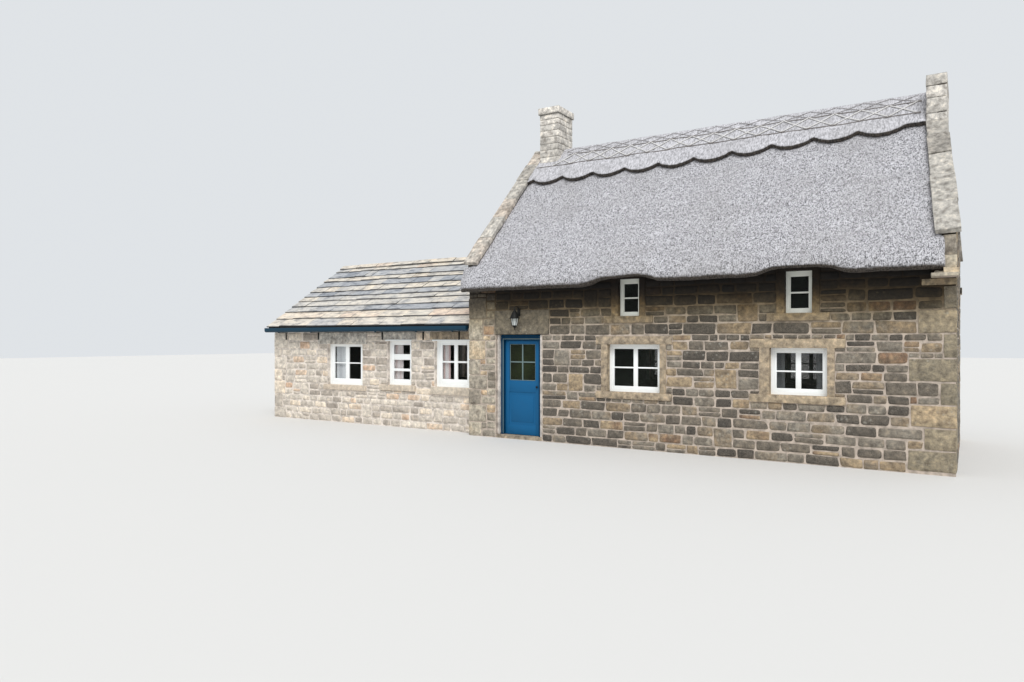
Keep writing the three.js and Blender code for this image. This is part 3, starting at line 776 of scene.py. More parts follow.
class Finishes:
    """All the materials, made once."""

    def __init__(self) -> None:
        """Builds every finish."""
        west = spot(-HOUSE_LENGTH, 0, 0)
        house_room = ((west.x + 0.3, spot(-0.3, 0, 0).x), (spot(0, 0.3, 0).y, spot(0, 4.42, 0).y))
        annex_room = (
            (spot(ANNEX_LEFT + 0.3, 0, 0).x, west.x + 0.1), (spot(0, 0.6, 0).y, spot(0, 5.0, 0).y),
        )
        self.house_stone = StoneFinish(
            "house_gritstone",
            (
                (0.0, (0.045, 0.038, 0.031)), (0.22, (0.088, 0.075, 0.06)),
                (0.42, (0.148, 0.125, 0.097)), (0.58, (0.215, 0.192, 0.158)),
                (0.72, (0.24, 0.178, 0.112)), (0.88, (0.35, 0.265, 0.165)), (1.0, (0.18, 0.105, 0.06)),
            ),
        ).build()
        self.annex_stone = StoneFinish(
            "annex_gritstone",
            (
                (0.0, (0.37, 0.325, 0.28)), (0.3, (0.53, 0.475, 0.41)),
                (0.6, (0.70, 0.635, 0.55)), (0.8, (0.74, 0.63, 0.50)), (1.0, (0.58, 0.40, 0.28)),
            ),
            grit=0.5,
            lichen=0.15,
            soot=0.18,
            mottle=0.6,
        ).build()
        self.pale_stone = StoneFinish(
            "pale_gritstone",
            (
                (0.0, (0.15, 0.128, 0.10)), (0.3, (0.32, 0.285, 0.235)),
                (0.6, (0.48, 0.43, 0.34)), (0.8, (0.54, 0.42, 0.28)), (1.0, (0.40, 0.24, 0.14)),
            ),
            soot=0.3,
        ).build()
        self.corner_stone = StoneFinish(
            "corner_gritstone",
            (
                (0.0, (0.145, 0.124, 0.09)), (0.4, (0.225, 0.193, 0.135)),
                (0.75, (0.32, 0.262, 0.175)), (1.0, (0.40, 0.30, 0.185)),
            ),
            grit=0.95,
            soot=0.4,
        ).build()
        self.dressed = StoneFinish(
            "dressed_sandstone",
            ((0.0, (0.215, 0.195, 0.165)), (0.45, (0.33, 0.262, 0.185)), (1.0, (0.44, 0.345, 0.225))),
            grit=0.4, lichen=0.15, soot=0.35,
        ).build()
        self.annex_sill = StoneFinish(
            "annex_sandstone",
            ((0.0, (0.50, 0.47, 0.42)), (0.5, (0.56, 0.49, 0.40)), (1.0, (0.56, 0.45, 0.34))), grit=0.4,
            lichen=0.1, soot=0.2, mottle=0.5,
        ).build()
        self.doorstep = StoneFinish(
            "worn_doorstep", ((0.0, (0.25, 0.2, 0.14)), (1.0, (0.4, 0.33, 0.25))), base=0.5, grit=0.3
        ).build()
        self.coping = StoneFinish(
            "coping_stone",
            (
                (0.0, (0.25, 0.232, 0.21)), (0.4, (0.385, 0.368, 0.34)),
                (0.75, (0.50, 0.478, 0.442)), (1.0, (0.5, 0.425, 0.36)),
            ),
            grit=0.9,
            lichen=0.55,
            soot=0.55,
        ).build()
        self.stack_stone = StoneFinish(
            "stack_gritstone",
            ((0.0, (0.40, 0.38, 0.35)), (0.5, (0.60, 0.575, 0.54)), (1.0, (0.70, 0.66, 0.61))), lichen=0.5,
            soot=0.35,
        ).build()
        self.slate = SlateFinish(
            "stone_slate",
            (
                (0.0, (0.23, 0.25, 0.285)), (0.3, (0.36, 0.37, 0.39)),
                (0.55, (0.53, 0.50, 0.455)), (0.8, (0.62, 0.55, 0.46)), (1.0, (0.61, 0.48, 0.39)),
            ),
        ).build()
        # A dark sheet of painted shadow on the CAD roof under the slates
        self.painted_slate_shadow = MortarFinish("slate_shadow", (0.06, 0.06, 0.06)).build()
        self.house_mortar = MortarFinish("house_mortar", (0.60, 0.505, 0.42), house_room, 1.0).build()
        self.annex_mortar = MortarFinish("annex_mortar", (0.86, 0.77, 0.68), annex_room).build()
        self.flags = StoneFinish(
            "floor_flags", ((0.0, (0.2, 0.18, 0.15)), (1.0, (0.3, 0.27, 0.23))), base=0.5, grit=0.2, lichen=0
        ).build()
        self.thatch = ThatchFinish("weathered_reed").build()
        self.ridge = ThatchFinish("ridge_straw", 46.0, 0.3, 0.25, 0.60).build()
        self.boards = WoodFinish("floor_boards", (0.32, 0.2, 0.1), (0.17, 0.095, 0.045), 0.16).build()
        self.hazel = WoodFinish("dark_hazel", (0.25, 0.23, 0.22), (0.13, 0.115, 0.11)).build()
        self.spar = WoodFinish("pale_spars", (0.70, 0.685, 0.67), (0.52, 0.505, 0.49)).build()
        self.white = PaintFinish("white_paint", (0.93, 0.95, 0.94), dirt=0.08).build()
        self.cream = PaintFinish("cream_paint", (0.80, 0.81, 0.74), dirt=0.14).build()
        self.blue = PaintFinish("blue_paint", (0.005, 0.098, 0.235), rough=0.4, dirt=0.1, shine=0.2).build()
        # A darker copy of the door's blue for the frame and its head fillet: painted shade under the lintel
        self.shaded_frame_blue = PaintFinish("shaded_frame_blue", (0.002, 0.038, 0.09), 0.45, 0.1, shine=0.1).build()
        # Pale paint for the door's glazing bars, and painted highlight on the frame's beads
        self.bar_and_highlight_blue = PaintFinish("pale_bar_and_highlight_paint", (0.14, 0.2, 0.2), rough=0.4).build()
        self.teal = PaintFinish("teal_paint", (0.004, 0.036, 0.066), rough=0.4, shine=0.25).build()
        self.black = PaintFinish("black_iron", (0.012, 0.012, 0.011), rough=0.42, metal=0.6).build()
        self.lime = MortarFinish("lime_margin", (0.74, 0.68, 0.62)).build()
        # Dark glass that paints the shade of the rooms behind the windows and the door
        self.glass = GlassFinish("window_glass").build()
        self.annex_glass = GlassFinish("annex_glass", cover=0.12).build()
        self.door_glass = GlassFinish("door_glass", (0.010, 0.014, 0.005), 0.8).build()
        self.net = ClothFinish("grey_net", (0.86, 0.9, 0.92), (0.66, 0.69, 0.72)).build()
        self.print = ClothFinish("rosy_print", (0.9, 0.88, 0.87), (0.74, 0.56, 0.54)).build()
        # Pale glass with a painted reflection of the sky in the lantern's panes
        self.lantern_glass_reflection = GlassFinish("lantern_glass_reflection", (0.40, 0.42, 0.41), 0.8).build()


def dress(item: Item, material: Material, slot: str | None, body: str = "house") -> Item:
    """Gives a finished piece its material and the body it moves with.

    Args:
        item: The piece.
        material: Its finish.
        slot: The record's slot that it takes its finish from, or None where the record has none for it; not
            used.
        body: The body of the model that carries it.

    Returns:
        The same piece.
    """
    item.data.materials.clear()
    item.data.materials.append(material)
    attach(item, body)
    return item


def assemble(parts: Sequence[Item], name: str, material: Material, slot: str, body: str = "house") -> Item:
    """Joins parts into one piece, shades it smooth but for its edges, and dresses it.

    Args:
        parts: The parts.
        name: Name of the piece.
        material: Its finish.
        slot: The record's slot of that finish.
        body: The body of the model that carries it.

    Returns:
        The piece.
    """
    piece = Bench.join(parts, name)
    Bench.smooth(piece)
    return dress(piece, material, slot, body)


def mark(item: Item, name: str, value: float) -> None:
    """Keeps one number on all the faces of a mesh."""
    layer = item.data.attributes.new(name, "FLOAT", "FACE")
    layer.data.foreach_set("value", [value] * len(item.data.polygons))


@dataclass(frozen=True)
class Patch:
    """A rectangle on a wall: from u0 to u1 along it and from z0 to z1 up."""

    u0: float
    u1: float
    z0: float
    z1: float


class Cut(Enum):
    """The ways in which a stone is worked."""

    SQUARE = "square_rubble"
    RUBBLE = "plain_rubble"
    ROUND = "round_rubble"
    HEWN = "hewn_block"
    DRESSED = "dressed_block"
    SLAB = "slab"


@dataclass(frozen=True)
class Block:
    """A modelled stone that others are copied from: its object, its size and its vertices' places."""

    item: Item
    size: Triple
    places: np.ndarray


class StoneKit:
    """Models one block of each cut, and copies it for every stone that is laid."""

    CORNER_RADII = {Cut.SQUARE: 0.016, Cut.RUBBLE: 0.027, Cut.ROUND: 0.040}
    BURIED = 0.025

    def __init__(self) -> None:
        """Models the blocks."""
        self.blocks = {cut: self._rubble_block(cut, radius) for cut, radius in self.CORNER_RADII.items()}
        self.blocks[Cut.HEWN] = self._closed_block(Cut.HEWN, (0.45, 0.32, 0.24), 0.015, 2, 2)
        self.blocks[Cut.DRESSED] = self._closed_block(Cut.DRESSED, (0.6, 0.26, 0.14), 0.007, 2, 0)
        self.blocks[Cut.SLAB] = self._closed_block(Cut.SLAB, (0.5, 0.35, 0.035), 0.008, 1, 1)

    def _rubble_block(self, cut: Cut, radius: float) -> Block:
        """A shallow stone with rounded corners and a crowned face, for a wall of which one side shows.

        Args:
            cut: The cut that it stands for.
            radius: Radius of its face's corners.

        Returns:
            The block, its face's middle at the origin and looking towards -y.
        """
        width, height = 0.30, 0.16
        item = Bench.block(cut.value, (-width / 2, self.BURIED, -height / 2), (width / 2, 0.06, height / 2))
        Bench.select_edges(item, lambda a, b: abs(a.x - b.x) + abs(a.z - b.z) < 0.001)
        bpy.ops.mesh.bevel(offset=radius, segments=2, affect="EDGES")
        bpy.ops.object.mode_set(mode="OBJECT")
        Bench.select_faces(item, lambda face: face.normal.y > -0.9)
        bpy.ops.mesh.delete(type="FACE")
        bpy.ops.mesh.select_all(action="SELECT")
        for out, inset in ((0.020, 0.022), (0.005, 0.028)):
            bpy.ops.mesh.extrude_region_move(TRANSFORM_OT_translate={"value": (0, -out, 0)})
            smaller = (1 - 2 * inset / width, 1, 1 - 2 * inset / height)
            bpy.ops.transform.resize(value=smaller, center_override=(0, 0, 0))
        bpy.ops.mesh.select_all(action="SELECT")
        bpy.ops.mesh.fill_holes(sides=0)
        bpy.ops.mesh.select_all(action="SELECT")
        bpy.ops.mesh.normals_make_consistent(inside=False)
        bpy.ops.object.mode_set(mode="OBJECT")
        return Block(item, (width, 2 * self.BURIED, height), self._read(item))

    def _closed_block(self, cut: Cut, size: Triple, edge: float, segments: int, cuts: int) -> Block:
        """A block that shows several of its sides.

        Args:
            cut: The cut that it stands for.
            size: Its size.
            edge: Width of its edges' bevel.
            segments: Steps of that bevel.
            cuts: Cuts across each face, for stones that are worked unevenly.

        Returns:
            The block, with its middle at the origin.
        """
        half = Vector(size) / 2
        item = Bench.block(cut.value, -half, half)
        if cuts > 0:
            Bench.select_faces(item, lambda face: True)
            bpy.ops.mesh.subdivide(number_cuts=cuts)
            bpy.ops.object.mode_set(mode="OBJECT")
        Bench.bevel(item, edge, segments)
        return Block(item, size, self._read(item))

    @staticmethod
    def _read(item: Item) -> np.ndarray:
        """The places of an object's vertices.

        Args:
            item: The object.

        Returns:
            One row a vertex.
        """
        places = np.empty(len(item.data.vertices) * 3)
        item.data.vertices.foreach_get("co", places)
        return places.reshape(-1, 3)

    @staticmethod
    def _resized(column: np.ndarray, was: float, wanted: float, inner: float) -> np.ndarray:
        """Narrows a block evenly, or widens its inner share and leaves its bevels as they are.

        Args:
            column: The vertices' places along one axis.
            was: The block's size along it.
            wanted: The size that the stone is to have.
            inner: Share of the block that is widened.

        Returns:
            The new places.
        """
        if wanted < was:
            return column * wanted / was
        moved = np.clip(np.abs(column) / (was / 2 * inner), 0, 1)
        return column + np.sign(column) * moved * (wanted - was) / 2

    @staticmethod
    def _strayed(
        local: np.ndarray, size: Sequence[float], loose: Sequence[float], dice: random.Random
    ) -> np.ndarray:
        """Moves the corners of a block a little, and all between them in proportion.

        Args:
            local: Places of its vertices.
            size: Its size.
            loose: How far a corner may stray along each axis.
            dice: The source of its irregularity.

        Returns:
            The new places.
        """
        share = np.clip(local / np.array(size) + 0.5, 0, 1)
        move = np.zeros_like(local)
        for corner in range(8):
            bits = (corner & 1, corner >> 1 & 1, corner >> 2 & 1)
            weight = np.prod([share[:, k] if bits[k] else 1 - share[:, k] for k in range(3)], axis=0)
            shift = np.array([dice.uniform(-reach, reach) for reach in loose])
            move += weight[:, None] * shift
        return local + move

    @staticmethod
    def _set_down(block: Block, local: np.ndarray, place: Matrix, tone: float, shade: float) -> Item:
        """Makes the copy of a block at its place, and keeps its tone and its share of the painted shade under
        the eaves.

        Args:
            block: The block.
            local: The copy's vertices, measured from its middle.
            place: Where its middle and its axes lie.
            tone: The number that picks its colour.
            shade: Its share of the painted shade under the eaves.

        Returns:
            The stone.
        """
        mesh = block.item.data.copy()
        turned = local @ np.array(place.to_3x3()).T + np.array(place.translation)
        mesh.vertices.foreach_set("co", turned.ravel())
        mesh.update()
        item = Bench.link("stone", mesh)
        mark(item, "tone", tone)
        mark(item, "shade", shade)
        return item

    def rubble(
        self, width: float, height: float, place: Matrix, tone: float, shade: float, dice: random.Random
    ) -> Item:
        """Lays one rubble stone.

        Args:
            width: Its width along the wall.
            height: Its height.
            place: Where its face's middle and its axes lie.
            tone: The number that picks its colour.
            shade: Its share of the painted shade under the eaves.
            dice: The source of its irregularity.

        Returns:
            The stone, with a mesh of its own.
        """
        block = self.blocks[dice.choice((Cut.SQUARE, Cut.RUBBLE, Cut.RUBBLE, Cut.ROUND))]
        local = block.places.copy()
        local[:, 0] = self._resized(local[:, 0], block.size[0], width, 0.35)
        local[:, 2] = self._resized(local[:, 2], block.size[2], height, 0.35)
        turn = np.arctan2(local[:, 2] / height, local[:, 0] / width)
        knocked = 1 + 0.03 * np.cos(2 * turn + dice.uniform(0, math.tau))
        knocked += 0.018 * np.cos(3 * turn + dice.uniform(0, math.tau))
        local[:, 0] *= knocked
        local[:, 2] *= knocked
        stray = min(0.013, 0.07 * min(width, height))
        local = self._strayed(local, (width, 2 * self.BURIED, height), (stray, 0.004, stray), dice)
        return self._set_down(block, local, place, tone, shade)

    def block(
        self, cut: Cut, size: Sequence[float], place: Matrix, tone: float, dice: random.Random,
        loose: float = 0.004, shade: float = 0.0,
    ) -> Item:
        """Lays one closed block.

        Args:
            cut: How it is worked.
            size: Its size along its three axes.
            place: Where its middle and its axes lie.
            tone: The number that picks its colour.
            dice: The source of its irregularity.
            loose: How far a corner may stray.
            shade: Its share of the painted shade under the eaves.

        Returns:
            The stone, with a mesh of its own.
        """
        block = self.blocks[cut]
        columns = [self._resized(block.places[:, k], block.size[k], size[k], 0.87) for k in range(3)]
        local = self._strayed(np.stack(columns, axis=1), size, (loose, loose, loose), dice)
        return self._set_down(block, local, place, tone, shade)

    def box(
        self, cut: Cut, low: Vector, high: Vector, tone: float, dice: random.Random, loose: float = 0.003,
        shade: float = 0.0,
    ) -> Item:
        """Lays one closed block between two corners, in the axes of the model."""
        middle = Matrix.Translation((low + high) / 2)
        return self.block(cut, high - low, middle, tone, dice, loose, shade)

    def put_away(self) -> None:
        """Removes the blocks once every stone is laid."""
        for block in self.blocks.values():
            bpy.data.objects.remove(block.item)


def finish_stones(
    stones: Sequence[Item], name: str, material: Material, slot: str, uneven: float = 0.0
) -> Item:
    """Joins laid stones into one piece, weathers their faces and dresses it.

    Args:
        stones: The stones.
        name: Name of the piece.
        material: Its finish.
        slot: The record's slot of that finish.
        uneven: Depth of the weathering, or 0 for none.

    Returns:
        The piece.
    """
    piece = Bench.join(stones, name)
    if uneven > 0:
        wear = bpy.data.textures.new(f"{name}_wear", "CLOUDS")
        wear.noise_scale = 0.13
        wear.noise_depth = 2
        Bench.apply(piece, "DISPLACE", texture=wear, texture_coords="LOCAL", strength=uneven)
    Bench.smooth(piece, 42)
    LOG.info("%s: %d stones", name, len(stones))
    return dress(piece, material, slot)


@dataclass
class LaidWall:
    """Coursed rubble on one face of a wall."""

    name: str
    origin: Sequence[float]  # the face's foot where u is 0, measured from the house's corner
    along: Sequence[float]  # direction of u
    u0: float  # where the stones start
    u1: float  # where they end
    courses: Sequence[float]  # heights of the bed joints
    top: Callable[[float], float]  # height that the stones stop under, for a place along the wall
    holes: Sequence[Patch] = ()  # patches that no rubble covers
    fixed: Sequence[Patch] = ()  # patches of single stones, laid first
    seed: int = 1
    lean: float = 0.0  # share by which the face leans back over LEAN_FROM
    joint: float = 0.006  # width of a joint between the stones' buried edges
    proud: float = 0.014  # how far the stones stand out of the mortar
    shade: float = 0.0  # share of the painted shade under the eaves

    LEAST = 0.05  # least height or width of a stone
    BONDERS = 1.6  # tries a metre
    BONDER_WIDTHS = (0.26, 0.42)
    BONDER_GAP = 0.12
    BONDER_HEIGHT = 0.36
    LENGTHS = (0.2, 0.46)  # least and greatest usual length of a stone
    LENGTH_SHARE = 2.15  # usual length over height

    def _bonders(self, dice: random.Random) -> list[Patch]:
        """Larger stones that run through two courses, where nothing else stands.

        Args:
            dice: The source of its irregularity.

        Returns:
            Their patches.
        """
        bonders: list[Patch] = []
        rows = list(zip(self.courses, self.courses[2:]))
        gap = self.BONDER_GAP
        for _ in range(int((self.u1 - self.u0) * self.BONDERS)):
            z0, z1 = dice.choice(rows)
            u = dice.uniform(self.u0 + 0.4, self.u1 - 0.8)
            stone = Patch(u, u + dice.uniform(*self.BONDER_WIDTHS), z0, z1)
            others = (*self.holes, *self.fixed, *bonders)
            clear = all(
                o.u1 < stone.u0 - gap or o.u0 > stone.u1 + gap or o.z1 <= z0 + 0.01 or o.z0 >= z1 - 0.01
                for o in others
            )
            low = z1 - z0 < self.BONDER_HEIGHT and z1 < min(self.top(stone.u0), self.top(stone.u1))
            if clear and low:
                bonders.append(stone)
        return bonders

    def _strips(self, z0: float, z1: float, taken: Sequence[Patch]) -> list[Patch]:
        """The free stretches of one course, with a foot and head of their own beside openings.

        Args:
            z0: The course's foot.
            z1: Its head.
            taken: Patches where other stones or openings are.

        Returns:
            The stretches.
        """
        near = [p for p in taken if p.z1 > z0 + 0.005 and p.z0 < z1 - 0.005]
        marks = sorted({self.u0, self.u1} | {u for p in near for u in (p.u0, p.u1) if self.u0 < u < self.u1})
        strips: list[Patch] = []
        for a, b in zip(marks, marks[1:]):
            foot, head = z0, z1
            for p in near:
                if p.u0 > a + 0.001 or p.u1 < b - 0.001:
                    continue
                if p.z0 - foot > head - p.z1:
                    head = min(head, p.z0)
                else:
                    foot = max(foot, p.z1)
            if head - foot < self.LEAST:
                continue
            last = strips[-1] if strips else Patch(0, -math.inf, 0, 0)
            level = abs(last.z0 - foot) < 0.004 and abs(last.z1 - head) < 0.004
            if level and abs(last.u1 - a) < 0.001:
                strips[-1] = Patch(last.u0, b, last.z0, last.z1)
            else:
                strips.append(Patch(a, b, foot, head))
        return strips

    def _break_up(self, strip: Patch, dice: random.Random) -> Iterable[Patch]:
        """Splits a stretch of course into stones, a few of them into two thin ones.

        Args:
            strip: The stretch.
            dice: The source of its irregularity.

        Returns:
            The stones' patches, one after the other.
        """
        length = strip.u1 - strip.u0
        height = strip.z1 - strip.z0
        least, greatest = self.LENGTHS
        usual = min(greatest, max(least, height * self.LENGTH_SHARE))
        count = max(1, round(length / usual + dice.uniform(-0.3, 0.3)))
        shares = [dice.uniform(0.55, 1.55) for _ in range(count)]
        u = strip.u0
        for share in shares:
            end = u + length * share / sum(shares)
            head = min(strip.z1, self.top(u), self.top(end))
            if head - strip.z0 > self.LEAST and end - u > self.LEAST:
                split = strip.z0 + height * dice.uniform(0.4, 0.6)
                if height > 0.15 and end - u > 0.2 and dice.random() < 0.12 and head - split > self.LEAST:
                    yield Patch(u, end, strip.z0, split)
                    yield Patch(u, end, split, head)
                else:
                    yield Patch(u, end, strip.z0, head)
            u = end

    def _lay(self, patch: Patch, kit: StoneKit, dice: random.Random, tone: float) -> Item:
        """Lays one stone in a patch.

        Args:
            patch: The stone's patch.
            kit: The blocks to copy.
            dice: The source of its irregularity.
            tone: The number that picks its colour.

        Returns:
            The stone.
        """
        along = Vector(self.along)
        up = Vector((0.0, 0.0, 1.0))
        back = up.cross(along)
        z = (patch.z0 + patch.z1) / 2
        leaning = self.lean * max(0.0, z - LEAN_FROM)
        out = self.proud + dice.uniform(-0.003, 0.004)
        face = spot(*self.origin) + along * (patch.u0 + patch.u1) / 2 + up * z + back * (leaning - out)
        turn = Matrix((along, back, up)).transposed().to_4x4()
        if z > LEAN_FROM:
            turn = turn @ Matrix.Rotation(-math.atan(self.lean), 4, "X")
        turn = turn @ Matrix.Rotation(dice.uniform(-0.014, 0.014), 4, "Y")
        width, height = patch.u1 - patch.u0 - self.joint, patch.z1 - patch.z0 - self.joint
        return kit.rubble(width, height, Matrix.Translation(face) @ turn, tone, self.shade, dice)

    def build(self, kit: StoneKit, material: Material) -> Item:
        """Lays the whole wall.

        Args:
            kit: The blocks to copy.
            material: The stones' finish.

        Returns:
            The stones as one piece.
        """
        dice = random.Random(self.seed)
        bonders = self._bonders(dice)
        stones = [self._lay(p, kit, dice, dice.uniform(0.3, 0.85)) for p in (*self.fixed, *bonders)]
        taken = (*self.holes, *self.fixed, *bonders)
        for z0, z1 in zip(self.courses, self.courses[1:]):
            for strip in self._strips(z0, z1, taken):
                for patch in self._break_up(strip, dice):
                    tone = min(0.92, max(0.0, dice.gauss(0.42, 0.25)))
                    if dice.random() < 0.025:
                        tone = dice.uniform(0.92, 1.0)
                    stones.append(self._lay(patch, kit, dice, tone))
        return finish_stones(stones, self.name, material, "gritstone")


@dataclass(frozen=True)
class Quoin:
    """A corner stone: its foot and head, and how far it reaches along x and along y."""

    z0: float
    z1: float
    along_x: float
    along_y: float


@dataclass
class Corner:
    """A column of corner stones where two walls meet."""

    x: float  # place of the corner along the front
    y: float  # place of the corner across the house
    into_x: int  # direction of the wall from the corner along x, 1 or -1
    into_y: int  # direction of the wall from the corner along y, 1 or -1
    stones: Sequence[Quoin]
    shade: float = 0.0  # share of the painted shade under the eaves

    PROUD = 0.013
    GAP = 0.024
    HEIGHTS = (0.2, 0.36)
    SHORT_REACH = (0.24, 0.32)
    LEAST = 0.16  # least height of a column's last stone

    @staticmethod
    def column(top: float, seed: int, longest: float = 0.58, first_short: bool = False) -> list[Quoin]:
        """Stones of alternate reach, one on the other.

        Args:
            top: Height that they end at.
            seed: Seed of their sizes.
            longest: The longest reach.
            first_short: True where the lowest one is short along x.

        Returns:
            The stones.
        """
        dice = random.Random(seed)
        stones: list[Quoin] = []
        z = 0.0
        while z < top - 0.01:
            head = z + dice.uniform(*Corner.HEIGHTS)
            if top - head < Corner.LEAST:
                head = top
            long, short = dice.uniform(longest * 0.74, longest), dice.uniform(*Corner.SHORT_REACH)
            if (len(stones) % 2 == 0) == first_short:
                long, short = short, long
            stones.append(Quoin(z, head, long, short))
            z = head
        return stones

    def holes(self, wall: str, sign: int) -> list[Patch]:
        """Patches that the stones take up on one of the two walls.

        Args:
            wall: The axis that the wall runs along, "x" or "y".
            sign: 1 where the wall's u runs with that axis, -1 where it runs against it.

        Returns:
            The patches.
        """
        start, into = (self.x, self.into_x) if wall == "x" else (self.y, self.into_y)
        patches = []
        for stone in self.stones:
            reach = stone.along_x if wall == "x" else stone.along_y
            ends = (sign * (start - into * 0.1), sign * (start + into * (reach + 0.012)))
            patches.append(Patch(min(ends), max(ends), stone.z0, stone.z1))
        return patches

    def lay(self, kit: StoneKit, dice: random.Random) -> list[Item]:
        """Lays the column.

        Args:
            kit: The blocks to copy.
            dice: The source of its irregularity.

        Returns:
            The stones.
        """
        laid = []
        for stone in self.stones:
            foot, head = stone.z0 + self.GAP / 2, stone.z1 - self.GAP / 2
            outer = spot(self.x - self.into_x * self.PROUD, self.y - self.into_y * self.PROUD, foot)
            inner = spot(self.x + self.into_x * stone.along_x, self.y + self.into_y * stone.along_y, head)
            low = Vector(min(a, b) for a, b in zip(outer, inner))
            high = Vector(max(a, b) for a, b in zip(outer, inner))
            laid.append(kit.box(Cut.HEWN, low, high, dice.uniform(0.1, 0.95), dice, 0.005, self.shade))
        return laid


@dataclass(frozen=True)
class Surround:
    """Dressed stones round one window: two jambs, a sill and a lintel."""

    window: str
    outer: Pair  # outer edges of the jambs
    inner: Pair  # inner edges of the jambs
    sill: Pair  # foot and head of the sill
    lintel: Pair  # foot and head of the lintel
    sill_horn: float  # how far the sill runs past the jambs
    lintel_horn: float  # how far the lintel runs past the jambs
    tone: float  # the number that picks its colour

    FACE = -0.021
    BACK = 0.25
    OVERLAP = 0.002

    def holes(self) -> list[Patch]:
        """Patches that the stones and the window take up on the wall."""
        (a, b), (s0, s1), (l0, l1) = self.outer, self.sill, self.lintel
        return [
            Patch(a, b, s0, l1), Patch(a - self.sill_horn, b + self.sill_horn, s0, s1),
            Patch(a - self.lintel_horn, b + self.lintel_horn, l0, l1),
        ]

    def build(self, kit: StoneKit, finishes: Finishes, dice: random.Random) -> None:
        """Lays the four stones in place of the CAD node.

        Args:
            kit: The blocks to copy.
            finishes: The materials.
            dice: The source of its irregularity.
        """
        (a, b), (c, d), (s0, s1), (l0, l1) = self.outer, self.inner, self.sill, self.lintel
        lap = self.OVERLAP
        stones = [
            self._stone(kit, dice, a - self.sill_horn, b + self.sill_horn, s0, s1, self.FACE - 0.013),
            self._stone(kit, dice, a - self.lintel_horn, b + self.lintel_horn, l0, l1, self.FACE),
            self._stone(kit, dice, a, c + lap, s1 - lap, l0 + lap, self.FACE + 0.002),
            self._stone(kit, dice, d - lap, b, s1 - lap, l0 + lap, self.FACE + 0.002),
        ]
        node = f"{self.window}_window_surround"
        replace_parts(finish_stones(stones, f"{node}_stones", finishes.dressed, "dressed_stone"), node)

    def _stone(
        self, kit: StoneKit, dice: random.Random, x0: float, x1: float, z0: float, z1: float, face: float
    ) -> Item:
        """One of the stones."""
        tone = self.tone + dice.uniform(-0.12, 0.12)
        return kit.box(Cut.DRESSED, spot(x0, face, z0), spot(x1, self.BACK, z1), tone, dice, 0.001, 1.0)


@dataclass(frozen=True)
class Opening:
    """A window as it lies in its wall: the frame's outer edges and its panes' bars."""

    name: str
    x0: float  # left edge of the frame
    x1: float
    z0: float  # foot of the frame
    z1: float  # head of the frame
    stile: float  # width of frame and sash together at the sides
    foot: float  # height of frame and sash together at the foot
    head: float  # height of frame and sash together at the head
    uprights: tuple[Pair, ...] = ()  # (left, right) of each upright between panes
    rails: tuple[Pair, ...] = ()  # (foot, head) of each rail between panes
    cream: bool = False  # True where the paint is cream

    def hole(self, sign: int = 1) -> Patch:
        """The patch that the window takes up on a wall whose u runs with x or against it."""
        ends = (sign * self.x0, sign * self.x1)
        return Patch(min(ends), max(ends), self.z0, self.z1)


@dataclass
class Joinery:
    """Sashes and bars that stand in the CAD frames of one wall's windows."""

    face: float  # outer face of the frames, across the house
    side: Side  # the side of the building that they are on
    windows: Sequence[Opening]

    CAD_STILE = 0.055
    OVERLAP = 0.004
    CLEAR = 0.0006

    def _bar(self, ends: Pair, heights: Pair, depths: Pair) -> Item:
        """A softened bar between two depths behind the frames' outer face.

        Args:
            ends: Its left and right end.
            heights: Its foot and head.
            depths: Its outer and inner face.

        Returns:
            The bar.
        """
        near = self.face + self.side.value * depths[0]
        far = self.face + self.side.value * depths[1]
        low = spot(ends[0], min(near, far), heights[0])
        high = spot(ends[1], max(near, far), heights[1])
        return Bench.block("bar", low, high, 0.004)

    def build(self, finishes: Finishes) -> None:
        """Makes the sashes and bars of each window.

        Args:
            finishes: The materials.
        """
        for w in self.windows:
            x0, x1 = w.x0 + self.CAD_STILE + self.CLEAR, w.x1 - self.CAD_STILE - self.CLEAR
            z0, z1 = w.z0 + self.CAD_STILE + self.CLEAR, w.z1 - self.CAD_STILE - self.CLEAR
            left, right = w.x0 + w.stile, w.x1 - w.stile
            foot, head = w.z0 + w.foot, w.z1 - w.head
            across = (left - self.OVERLAP, right + self.OVERLAP)
            parts = [
                self._bar((x0, left), (z0, z1), (0.008, 0.046)),
                self._bar((right, x1), (z0, z1), (0.008, 0.046)),
                self._bar(across, (z0, foot), (0.0085, 0.0455)),
                self._bar(across, (head, z1), (0.0085, 0.0455)),
            ]
            tall = (foot - self.OVERLAP, head + self.OVERLAP)
            parts += [self._bar(ends, tall, (0.009, 0.045)) for ends in w.uprights]
            parts += [self._bar(across, heights, (0.012, 0.042)) for heights in w.rails]
            paint, slot = (finishes.cream, "cream_paint") if w.cream else (finishes.white, "white_paint")
            assemble(parts, f"{w.name}_sash", paint, slot)
        LOG.info("sashes: %d windows", len(self.windows))


